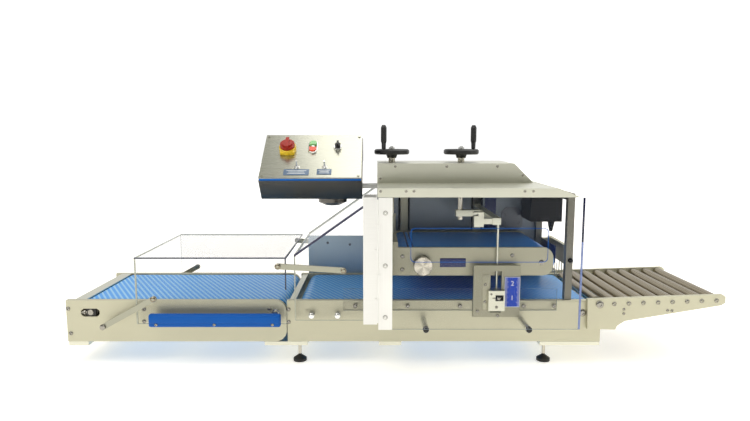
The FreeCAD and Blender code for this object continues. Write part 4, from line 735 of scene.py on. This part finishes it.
class SLICER_OT_rods_and_screws(SlicerStep):
    """Screws, standoff rods, hood studs, rest studs and take-up blocks of the conveyors"""

    bl_idname = "slicer.rods_and_screws"
    bl_label = "Rods and screws"

    def make(self):
        shape = Shape()
        head, rise, stud = sizes().head, sizes().head_rise, sizes().hood_stud
        infeed_low, infeed_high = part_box("infeed_side_plates")
        main_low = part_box("main_side_plates")[0]
        outside, top = infeed_high.y, infeed_high.z
        marks = [(infeed_low.x + x * MM, top - z * MM)
                 for x, z in ((6, 25), (10, 99), (227, 27), (226, 63), (593, 27))]
        marks += [(main_low.x + 4 * MM, top - z * MM) for z in (27, 65)]
        for side in BOTH:
            shape.screws(side, side * outside, marks, head, rise)
            self.take_up(shape, side)
        for along in (73, 148):
            shape.pair((main_low.x + along * MM, outside, top - 0.0404),
                       [(stud, 0), (stud, 0.0148), (0.005, 0.0150), (0.005, 0.0202), (stud, 0.0204),
                        (stud * 0.98, 0.0222), (stud * 0.80, 0.0240), (stud * 0.42, 0.0249),
                        (TINY, 0.0250)], material=3)
        shape.pair((infeed_low.x + 0.121, outside, top - 0.069),
                   [(0.004, 0), (0.004, 0.0353), (0.0085, 0.0354), (0.0085, 0.0376), (0.0075, 0.0394),
                    (0.0045, 0.0402), (TINY, 0.0403)])
        bolt = 0.0112
        at = middle("main_tail_pulley")
        shape.pair((at.x, outside, at.z), [(bolt, 0), (bolt, 0.0005), (0.0106, 0.0008), (TINY, 0.0008)], 40, 2)
        at = middle("main_drive_pulley")
        shape.screws(-1, main_low.y, [(at.x, at.z)], bolt, 0.0042)
        at = middle("infeed_drive_pulley")
        shape.pair((at.x, outside, at.z),
                   [(0.0110, 0), (0.0110, 0.0020), (0.0088, 0.0022), (0.0088, 0.0110), (0.0080, 0.0128),
                    (0.0050, 0.0138), (TINY, 0.0140)], 32, 3)
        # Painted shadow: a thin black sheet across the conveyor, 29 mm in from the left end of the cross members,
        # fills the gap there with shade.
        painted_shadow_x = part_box("cross_members")[0].x + 0.029
        inside = outside - 0.016
        shape.block((painted_shadow_x, -inside, top - 0.074), (painted_shadow_x + 0.0024, inside, top - 0.0036), 0.6 * MM, 1)
        guide = [(main_low.x + along * MM, top - 0.016) for along in (199, 351, 503, 688, 776)]
        shape.screws(-1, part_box("side_guides")[0].y, guide, head, rise)
        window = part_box("blade_frame")[0]
        marks = [(window.x + x * MM, top + z * MM) for x, z in ((13, -30), (72, -44), (34, 49), (34, -2))]
        shape.screws(-1, window.y, marks, head * 0.8, rise * 0.8)
        reach = main_low.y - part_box("door_pane")[1].y - 0.001
        for along in (397, 682):
            x, z = main_low.x + along * MM, top - 0.058
            shape.turned((x, main_low.y, z), (0, -1, 0),
                         [(0.0085, 0), (0.0085, reach - 0.012), (0.0078, reach - 0.0118),
                          (0.0078, reach - 0.0100), (0.0085, reach - 0.0098), (0.0085, reach - 0.0008),
                          (0.0077, reach), (TINY, reach)], 32, 3)
            shape.turned((x, main_low.y - reach + 0.0078, z), (0, -1, 0),
                         [(0.0087, 0), (0.0087, 0.0066), (0.0078, 0.0079), (TINY, 0.0079)], 32, 1)
        shape.piece("conveyor_fastenings", "rods_and_bolts", ["screw", "black", "plate", "chrome"],
                    "bright_steel", ["rods_and_bolts"])

    def take_up(self, shape, side):
        """A sliding block with its tension screw in the slot at the infeed end."""
        centre = middle("infeed_tail_pulley")
        x, z = centre.x, centre.z
        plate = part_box("infeed_side_plates")[1].y
        inner, outer = sorted((side * (plate - 0.015), side * (plate - 0.004)))
        shape.block((x - 0.015, inner, z - 0.012), (x + 0.015, outer, z + 0.012), 0.0012, 1)
        bolt = side * (plate - 0.0055)
        shape.turned((x - 0.0275, bolt, z), (1, 0, 0), [(0.0042, 0), (0.0042, 0.017)], 16)
        shape.turned((x - 0.0145, bolt, z), (1, 0, 0),
                     [(TINY, -0.0045), (0.0068, -0.0044, 6), (0.0068, 0, 6), (TINY, 0.0001)], 24)
        shape.turned((x, side * (plate - 0.0045), z), (0, side, 0),
                     [(0.0085, -0.001), (0.0085, 0.0030), (0.0078, 0.0036), (TINY, 0.0037)], 32)
        for end in BOTH:
            for half in BOTH:
                self.round_corner(shape, side, plate, x + end * 0.0275, z + half * 0.012, end, half)

    def round_corner(self, shape, side, plate, x, z, end, half):
        """Fills one corner of the slot so that its end is round."""
        radius, steps = 0.0115, 8
        outline = [(x, z)]
        for step in range(steps + 1):
            angle = math.radians(90 * step / steps)
            outline.append((x - end * radius * (1 - math.cos(angle)),
                            z - half * radius * (1 - math.sin(angle))))
        start = min(side * (plate - 0.0125), side * (plate - 0.0002))
        shape.sheet(outline, start, 0.0123, 2, 2)


class SLICER_OT_guard_handle(SlicerStep):
    """Long blue grip bar along the front of the guard"""

    bl_idname = "slicer.guard_handle"
    bl_label = "Guard handle"

    def make(self):
        low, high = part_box("guard_handle")
        shape = Shape()
        shape.block((low.x, low.y + 0.004, low.z), (high.x, high.y, high.z), 0.006)
        shape.block((low.x + 0.002, low.y, low.z + 0.012),
                    (high.x - 0.002, low.y + 0.012, high.z - 0.003), 0.005)
        for share in (0.06, 0.5, 0.94):
            at = (low.x + share * (high.x - low.x), low.y + 0.0042, low.z + 0.0085)
            shape.screw(at, (0, -1, 0), 0.0046, 0.0028, 1)
        shape.piece("guard_grip_bar", "guard_handle", ["blue", "screw"], "blue_plastic", ["guard_handle"])


class SLICER_OT_clear_panes(SlicerStep):
    """Clear guard, hood, door and side guides with their polished edges, some edges given strips of painted
    highlight and painted shade
    """

    bl_idname = "slicer.clear_panes"
    bl_label = "Clear panes"

    def make(self):
        low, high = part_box("door_pane")
        self.guard(high.y - low.y)
        self.hood(high.y - low.y)
        door = self.panes(low, high, [(low.x, high.x)])
        # The door's right edge: a strip of painted shade along its top 0.12 m and a painted blue sheen below it.
        change = high.z - 0.12
        for bottom, top, finish in ((change, high.z, 2), (low.z, change, 3)):
            door.block((high.x - 0.0045, low.y + TINY, bottom), (high.x, high.y, top), 0.3 * MM, finish)
        self.finish(door, "door_pane", "edge_painted_blue_sheen")
        low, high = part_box("side_guides")
        guides = self.panes(low, high, [(low.x, low.x + 0.375), (high.x - 0.107, high.x)])
        self.finish(guides, "side_guides", "edge_painted_blue_sheen")

    def panes(self, low, high, spans):
        """Flat panes side by side."""
        shape = Shape()
        for start, end in spans:
            shape.sheet(oblong(start, end, low.z, high.z), low.y, high.y - low.y)
        return shape

    def finish(self, shape, node, edge):
        shape.piece(node + "_clear", node, ["clear", "edge", "edge_painted_shade", edge], "clear_acrylic", [node])

    def guard(self, thick):
        low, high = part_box("infeed_guard")
        shape = Shape()
        for start in (low.y, high.y - thick):
            shape.sheet(oblong(low.x, high.x, low.z, high.z), start, thick)
        shape.sheet(oblong(low.x, high.x, high.z - thick, high.z), low.y + thick, high.y - low.y - 2 * thick,
                    face=1, rim=0)
        line = 0.0034
        front, level = low.y + line, high.z - line
        # Edge strips: painted shade along the front top edge and the right edge, painted highlight along the left
        # and back edges.
        for corner, opposite, finish in (
                ((low.x, low.y + 0.0002, level), (high.x, front, high.z), 2),
                ((high.x - line, low.y + 0.0002, low.z + 0.1), (high.x, front, level), 2),
                ((high.x - line, front, high.z - thick), (high.x, high.y, high.z - TINY), 2),
                ((low.x, front, level), (low.x + line, high.y, high.z), 3),
                ((low.x + line, high.y - line, level), (high.x - line, high.y, high.z), 3),
                ((low.x, low.y + TINY, low.z), (low.x + line, low.y + thick, level), 3)):
            shape.block(corner, opposite, 0.4 * MM, finish)
        self.finish(shape, "infeed_guard", "edge_painted_highlight")

    def hood(self, thick):
        low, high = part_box("slanted_hood")
        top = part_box("infeed_guard")[1].z + 0.007
        shape = Shape()

        def slope(below, above):
            return [(low.x, top - below), (high.x, high.z - below),
                    (high.x, high.z + above), (low.x, top + above)]

        outline = [(low.x, low.z), (high.x, low.z), (high.x, high.z - 0.006), (low.x, top - 0.006)]
        for start in (low.y, high.y - thick):
            shape.sheet(outline, start, thick)
        shape.sheet(slope(0.006, 0), low.y, high.y - low.y, face=1, rim=0)
        # Edge strips: painted shade along the slope's front edge, painted highlight along its back edge and the
        # left edges.
        for start, end, finish in ((low.y - TINY, low.y + 0.0070, 2), (high.y - 0.0050, high.y, 3)):
            shape.sheet(slope(0.0075, 0.0004), start, end - start, finish, finish)
        level = top - 0.0065
        shape.block((low.x, low.y + TINY, level), (low.x + 0.004, high.y, top - 0.0002), 0.4 * MM, 3)
        shape.block((low.x, low.y + TINY, low.z), (low.x + 0.003, low.y + thick, level), 0.4 * MM, 3)
        self.finish(shape, "slanted_hood", "edge_painted_highlight")


class SLICER_OT_link_heads(SlicerStep):
    """Domed heads of the pins through the guard's arms and stays"""

    bl_idname = "slicer.link_heads"
    bl_label = "Link heads"

    def make(self):
        pins = {"guard_arms": ("guard_lift", "guard_level"), "guard_stays": ("stay_swing",)}
        for node, names in pins.items():
            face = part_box(node)[1].y - 0.0051
            shape = Shape()
            for name in names:
                x, _, z = JOINTS[name]["pos_m"]
                for side in BOTH:
                    shape.screws(side, side * face, [(x, z)], 0.0089, 0.0056)
            shape.piece(node + "_pins", node, ["pin"], "bright_steel")


class SLICER_OT_cover_screws(SlicerStep):
    """Small screws of the covers and the control lid"""

    bl_idname = "slicer.cover_screws"
    bl_label = "Cover screws"

    def make(self):
        head = sizes().small_head
        shape = Shape()
        low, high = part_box("upper_cover")
        marks = [(low.x + x * MM, low.z + z * MM)
                 for x, z in ((54, 49), (207, 49), (358, 49), (9, 13), (434, 23))]
        shape.screws(-1, low.y, marks, head, 0.0025)
        shape.screws(1, high.y, [(low.x + x * MM, low.z + 0.045) for x in (40, 200, 380)], head, 0.0025)
        low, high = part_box("lower_covers")
        marks = [(low.x + x * MM, high.z - 0.0035 - head) for x in (8, 76, 97, 393, 416)]
        shape.screws(-1, low.y, marks, head * 0.9, 0.0022)
        marks = [(low.x + x * MM, low.z + z * MM) for x in (20, 275, 530) for z in (30, 200, 360)]
        shape.screws(1, high.y - 0.0002, marks, head, 0.0023)
        shape.piece("cover_screws", "upper_cover", ["screw"], "bright_steel")
        strip = Shape()
        low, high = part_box("door_strip")
        marks = [(high.x - 0.019, low.z + z * MM) for z in (35, 179, 323)]
        strip.screws(-1, high.y - 0.003, marks, 0.0064, 0.0042)
        strip.piece("door_strip_screws", "door_strip", ["screw"], "bright_steel")
        lid = Shape()
        place = lid_place()
        for across in (-0.141, 0.141):
            for up in (0.009, 0.191):
                lid.screw(place @ Vector((across, up, 0)), place.col[2].xyz, head, 0.0022)
        lid.piece("lid_screws", "box_lid", ["screw"], "bright_steel")


class SLICER_OT_lid_labels(SlicerStep):
    """Plain label plates and the white lamp on the control lid"""

    bl_idname = "slicer.lid_labels"
    bl_label = "Lid labels"

    def make(self):
        place = lid_place()
        shape = Shape()
        for start, end, low, high in ((-0.079, -0.004, 0.010, 0.036), (0.019, 0.062, 0.013, 0.037)):
            self.flat(shape, place, start, end, low, high, 0.0012, 0)
            centre, level = (start + end) / 2, (low + high) / 2
            for rise, share in ((0.006, 0.78), (0.0, 0.62), (-0.006, 0.70)):
                reach = (end - start) * share / 2
                self.flat(shape, place, centre - reach, centre + reach, level + rise - 0.0009,
                          level + rise + 0.0009, 0.0015, 1)
        lamp = Vector((0, lid_point("selector_turn").y, 0))
        shape.turned(place @ lamp, place.col[2].xyz,
                     [(0.006, 0), (0.006, 0.004), (0.0045, 0.0066), (0.002, 0.0074), (TINY, 0.0075)], 20, 2)
        shape.piece("lid_labels", "box_lid", ["label", "white", "pale_lens"], "stainless")

    def flat(self, shape, place, start, end, low, high, rise, material):
        """A thin plate lying on the lid."""
        size = Vector((end - start, high - low, rise)) / 2
        centre = place @ Vector(((start + end) / 2, (low + high) / 2, rise / 2))
        shape.block(centre - size, centre + size, 0.3 * MM, material, place.to_3x3().to_4x4())


class SLICER_OT_lid_bezels(SlicerStep):
    """Yellow base of the main switch and the steel rings round the other controls"""

    bl_idname = "slicer.lid_bezels"
    bl_label = "Lid bezels"

    def make(self):
        place = lid_place()
        facing = place.col[2].xyz
        switch, selector = lid_point("main_switch_turn"), lid_point("selector_turn")
        base = Shape()
        base.turned(place @ switch, facing,
                    [(0.0255, TINY), (0.0260, 0.0010), (0.0260, 0.0135), (0.0250, 0.0155), (0.0236, 0.0160),
                     (0.0226, 0.0150), (0.0061, 0.0150)], 48)
        size = Vector((0.044, 0.024, 0.012)) / 2
        foot = place @ (switch + Vector((0, -0.012, 0.0062)))
        base.block(foot - size, foot + size, 0.002, 0, place.to_3x3().to_4x4())
        base.piece("main_switch_base", "control_bezels", ["yellow"], "yellow_plastic", ["control_bezels"])
        rings = Shape()
        rings.turned(place @ Vector((0, selector.y, 0)), facing,
                     [(0.0145, TINY), (0.0145, 0.0042), (0.0134, 0.0058), (0.0122, 0.0060), (0.0114, 0.0050),
                      (0.0114, 0.0003), (TINY, 0.0002)], 40, spread=0.0135)
        rings.turned(place @ selector, facing,
                     [(0.0130, TINY), (0.0130, 0.0045), (0.0118, 0.0060), (0.0093, 0.0060), (0.0092, 0.0003),
                      (TINY, 0.0002)], 36)
        for joint in ("left_toggle_flip", "right_toggle_flip"):
            rings.turned(place @ lid_point(joint), facing,
                         [(0.0080, TINY), (0.0080, 0.0012), (0.0066, 0.0013), (0.0068, 0.0020, 6),
                          (0.0068, 0.0046, 6), (0.0058, 0.0060), (0.0054, 0.0060), (0.0053, 0.0010)], 24)
        rings.piece("lid_bezel_rings", "control_bezels", ["chrome"], "bright_steel")


class SLICER_OT_housing_fittings(SlicerStep):
    """Rear wall strip and plate, slot brushes and the outline printed on the door"""

    bl_idname = "slicer.housing_fittings"
    bl_label = "Housing fittings"

    def make(self):
        low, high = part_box("rear_panels")
        wall = low.y
        shape = Shape()
        shape.block((high.x - 0.180, wall - 0.0025, high.z - 0.152),
                    (high.x - 0.141, wall - TINY, high.z - 0.048), 0.8 * MM, 1)
        self.hatch(shape, high.x - 0.085, high.z - 0.119, wall)
        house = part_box("lower_covers")[0].x
        for slot in (house + 0.093, house + 0.344):
            for side in BOTH:
                left, right = sorted((slot + side * 0.0195, slot + side * 0.0135))
                shape.block((left, wall - 0.0005, high.z - 0.157), (right, wall + 0.003, high.z - 0.011),
                            0.8 * MM, 2)
        marks = [(low.x + x * MM, low.z + z * MM) for x, z in ((67, 107), (144, 101))]
        shape.screws(-1, wall, marks, 0.0045, 0.0025)
        knob = (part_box("housing_posts")[1].x - 0.007, -wall, low.z + 0.117)
        shape.turned(knob, (0, -1, 0),
                     [(0.0072, -0.002), (0.0072, 0.0040), (0.0060, 0.0062), (0.0030, 0.0072), (TINY, 0.0074)],
                     material=2)
        shape.piece("rear_wall_fittings", "rear_panels", ["dull", "navy", "motor"], "stainless")
        self.door_outline()

    def hatch(self, shape, x, z, wall):
        """A plate with cut corners and four screws."""
        wide, high, cut = 0.037, 0.040, 0.018
        outline = [(x - wide, z - high + cut), (x - wide + cut, z - high), (x + wide - cut, z - high),
                   (x + wide, z - high + cut), (x + wide, z + high - cut), (x + wide - cut, z + high),
                   (x - wide + cut, z + high), (x - wide, z + high - cut)]
        shape.sheet(outline, wall - 0.004, 0.0039, 0, 0)
        marks = [(x + side * 0.024, z + half * 0.014) for half in BOTH for side in BOTH]
        shape.screws(-1, wall - 0.004, marks, 0.0036, 0.002)

    def door_outline(self):
        """A thin rounded frame printed on the door."""
        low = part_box("door_pane")[0]
        left, right, bottom, top = low.x + 0.087, low.x + 0.459, low.z + 0.188, low.z + 0.282
        corner, line, face = 0.012, 0.0016, low.y - 0.3 * MM
        centre = ((left + right) / 2, (bottom + top) / 2)

        def inward(x, z, reach):
            return x - math.copysign(reach, x - centre[0]), z - math.copysign(reach, z - centre[1])

        route = []
        for x, z, start in ((right, top, 0), (left, top, 90), (left, bottom, 180), (right, bottom, 270)):
            x, z = inward(x, z, corner)
            for step in range(7):
                angle = math.radians(start + 15 * step)
                route.append((x + corner * math.cos(angle), z + corner * math.sin(angle)))
        data = bmesh.new()
        outer = [data.verts.new((x, face, z)) for x, z in route]
        route = [inward(x, z, line) for x, z in route]
        inner = [data.verts.new((x, face, z)) for x, z in route]
        for step in range(len(route)):
            after = (step + 1) % len(route)
            data.faces.new((outer[step], outer[after], inner[after], inner[step]))
        shape = Shape()
        shape.add(data)
        shape.piece("door_outline", "door_pane", ["blue"], "blue_plastic")


class SLICER_OT_upper_unit_fittings(SlicerStep):
    """Bolts, blank plate and belt lacing of the upper belt unit"""

    bl_idname = "slicer.upper_unit_fittings"
    bl_label = "Upper unit fittings"

    def make(self):
        face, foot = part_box("upper_unit_frame")[0].yz
        belt_low, belt_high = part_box("upper_belt")
        left = belt_low.x - 0.0011
        shape = Shape()
        marks = [(left + x * MM, foot + z * MM) for x, z in ((30, 57), (30, 18), (350, 60))]
        shape.screws(-1, face, marks, sizes().head, sizes().head_rise)
        shape.turned((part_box("upper_drive_pulley")[0].x + 0.0377, face, belt_low.z + 0.041), (0, -1, 0),
                     [(0.008, -0.002), (0.008, 0.0006), (0.0072, 0.0012), (TINY, 0.0012)], 32)
        tail = middle("upper_tail_pulley")
        shape.pair((tail.x, -face, tail.z), [(0.0092, 0), (0.0092, 0.0005), (TINY, 0.0006)], 40, 2)
        shape.block((left + 0.1395, face - 0.0016, foot + 0.025),
                    (left + 0.215, face - TINY, foot + 0.0514), 0.0012, 1)
        shape.piece("upper_unit_fittings", "upper_unit_frame", ["screw", "navy", "unit_plate"], "bright_steel")
        lacing = Shape()
        for start in (belt_low.x + 0.044, belt_low.x + 0.058):
            lacing.block((start, belt_low.y + 0.002, belt_high.z - 0.6 * MM),
                         (start + 0.005, belt_high.y - 0.002, belt_high.z + TINY), 0.2 * MM)
        lacing.piece("upper_belt_lacing", "upper_belt", ["navy"], "blue_belt")


class SLICER_OT_blade_fittings(SlicerStep):
    """Scale marks and guide bar beside the blade window"""

    bl_idname = "slicer.blade_fittings"
    bl_label = "Blade fittings"

    def make(self):
        low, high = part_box("scale_plate")
        shape = Shape()
        face, height = low.y, high.z - low.z
        line, inset, thin, steps = 1.2 * MM, 2 * MM, 0.35 * MM, 30

        def mark(left, right, bottom, top):
            shape.block((left, face - 0.3 * MM, bottom), (right, face - 0.01 * MM, top))

        for start, end in ((low.x, low.x + line), (high.x - line, high.x)):
            mark(start, end, low.z, high.z)
        for start, end in ((low.z, low.z + line), (high.z - line, high.z)):
            mark(low.x, high.x, start, end)
        for step in range(1, steps):
            level = low.z + height * step / steps
            reach = 0.009 if step % 5 == 0 else 0.0055
            for start in (low.x + inset, high.x - inset - reach):
                mark(start, start + reach, level - thin, level + thin)
        shape.piece("scale_marks", "scale_plate", ["white"], "blue_plastic")
        self.clamp()
        upright = Matrix.Rotation(math.radians(90), 4, "X")
        for figure, share in (("2", 0.78), ("1", 0.30)):
            at = ((low.x + high.x) / 2, face - 0.3 * MM, low.z + height * share)
            lettering("scale_figure_" + figure, figure, 0.020, at, upright,
                      "scale_plate", "white")

    def clamp(self):
        """Guide bar beside the window, and the screws of the sliding clamp with a black block as the painted shade
        of its recess.
        """
        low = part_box("blade_frame")[0]
        guide = Shape()
        guide.block((low.x + 0.027, low.y - 0.0012, low.z + 0.023),
                    (low.x + 0.046, low.y - TINY, low.z + 0.127), 0.4 * MM)
        guide.piece("blade_guide_bar", "blade_frame", ["unit_plate"], "anodised_plate")
        _, face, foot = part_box("blade_carriage")[0]
        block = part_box("scale_plate")[0].x - 0.048
        slide = Shape()
        # Painted shade: a thin black block on the carriage face stands in for the clamp's recess.
        slide.block((block + 0.020, face - 0.0008, foot + 0.030),
                    (block + 0.043, face - 0.00005, foot + 0.047), 0.3 * MM, 1)
        slide.turned((block + 0.029, face - 0.0005, foot + 0.0385), (0, -1, 0),
                     [(0.0052, 0), (0.0052, 0.0018), (0.0040, 0.0026), (TINY, 0.0028)], 20, 0)
        slide.screws(-1, face, [(block + 0.0235, foot + 0.012)], 0.0046, 0.0030)
        slide.screws(-1, face, [(block + 0.008, foot + 0.050)], 0.0032, 0.0020)
        slide.piece("clamp_fittings", "blade_carriage", ["screw", "motor"], "bright_steel")


class SLICER_OT_track_fittings(SlicerStep):
    """Screws and axle heads along the folding roller track"""

    bl_idname = "slicer.track_fittings"
    bl_label = "Track fittings"

    def make(self):
        low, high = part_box("track_frame")
        shape = Shape()
        flush = high.y - 0.003
        axle = middle("track_roller_2").z
        marks = [(low.x + x * MM, axle - z * MM)
                 for x, z in ((106.5, 15.9), (106.5, 28.9), (232.5, 19.4), (245.5, 20.4))]
        for count in range(1, 10):
            at = middle(f"track_roller_{count}")
            face, head, rise = flush - TINY, 0.0066, 0.0036
            if count == 1:
                face, head, rise = high.y - 0.0004, 0.0108, 0.0030
            for side in BOTH:
                shape.screws(side, side * face, [(at.x, at.z)], head, rise)
        for side in BOTH:
            shape.screws(side, side * flush, marks, 0.0042, 0.0026)
        shape.piece("track_fittings", "track_frame", ["screw"], "bright_steel")


class SLICER_OT_discharge_fittings(SlicerStep):
    """Comb of thin wires under the discharge bar"""

    bl_idname = "slicer.discharge_fittings"
    bl_label = "Discharge comb"

    def make(self):
        low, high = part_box("discharge_bar")
        shape = Shape()
        count = sizes().wires
        pitch = 0.150 / (count - 1)
        for step in range(count):
            at = (low.x + 0.006, low.y + 0.005 + pitch * step, low.z + 0.0005)
            shape.turned(at, (0, 0, 1), [(0.0012, 0), (0.0012, 0.0405)], 10)
        shape.block((low.x - 0.0015, low.y + 0.001, low.z + 0.0405),
                    (low.x - 0.00005, low.y + 0.178, high.z - 0.004), 0.4 * MM, 1)
        shape.piece("discharge_comb", "discharge_bar", ["bright", "navy"], "bright_steel")


class SLICER_OT_handwheel_nuts(SlicerStep):
    """Spindle nuts and washers on the handwheels"""

    bl_idname = "slicer.handwheel_nuts"
    bl_label = "Handwheel nuts"

    def make(self):
        for name in ("left", "right"):
            centre = middle(name + "_handwheel")
            at = (centre.x, centre.y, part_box(name + "_handwheel")[1].z - 0.0748)
            shape = Shape()
            shape.turned(at, (0, 0, 1),
                         [(0.0125, 0), (0.0125, 0.0015), (0.0110, 0.0016), (0.0090, 0.0017, 6),
                          (0.0090, 0.0072, 6), (0.0070, 0.0080), (0.0050, 0.0081), (0.0050, 0.0105),
                          (TINY, 0.0108)], 36)
            shape.piece(name + "_spindle_nut", name + "_handwheel", ["chrome"], "bright_steel")


STEPS = (SLICER_OT_finishes, SLICER_OT_stage, SLICER_OT_rods_and_screws, SLICER_OT_guard_handle,
         SLICER_OT_clear_panes, SLICER_OT_link_heads, SLICER_OT_cover_screws, SLICER_OT_lid_labels,
         SLICER_OT_lid_bezels, SLICER_OT_housing_fittings,
         SLICER_OT_upper_unit_fittings, SLICER_OT_blade_fittings, SLICER_OT_track_fittings,
         SLICER_OT_discharge_fittings, SLICER_OT_handwheel_nuts)


class SLICER_PT_looks(bpy.types.Panel):
    """Sizes, colours and steps of the slicer's looks"""

    bl_label = "Cake slicer"
    bl_space_type = "VIEW_3D"
    bl_region_type = "UI"
    bl_category = "Slicer"

    def draw(self, context):
        for group in (context.scene.slicer_colours, context.scene.slicer_sizes):
            box = self.layout.box()
            for name in group.__annotations__:
                box.prop(group, name)
        for step in STEPS:
            self.layout.operator(step.bl_idname)


CLASSES = (SlicerColours, SlicerSizes, *STEPS, SLICER_PT_looks)


def register():
    for item in CLASSES:
        bpy.utils.register_class(item)
    bpy.types.Scene.slicer_colours = PointerProperty(type=SlicerColours)
    bpy.types.Scene.slicer_sizes = PointerProperty(type=SlicerSizes)


def unregister():
    del bpy.types.Scene.slicer_sizes
    del bpy.types.Scene.slicer_colours
    for item in reversed(CLASSES):
        bpy.utils.unregister_class(item)


def main():
    register()
    for step in STEPS:
        group, name = step.bl_idname.split(".")
        getattr(getattr(bpy.ops, group), name)()


if __name__ == "__main__":
    main()
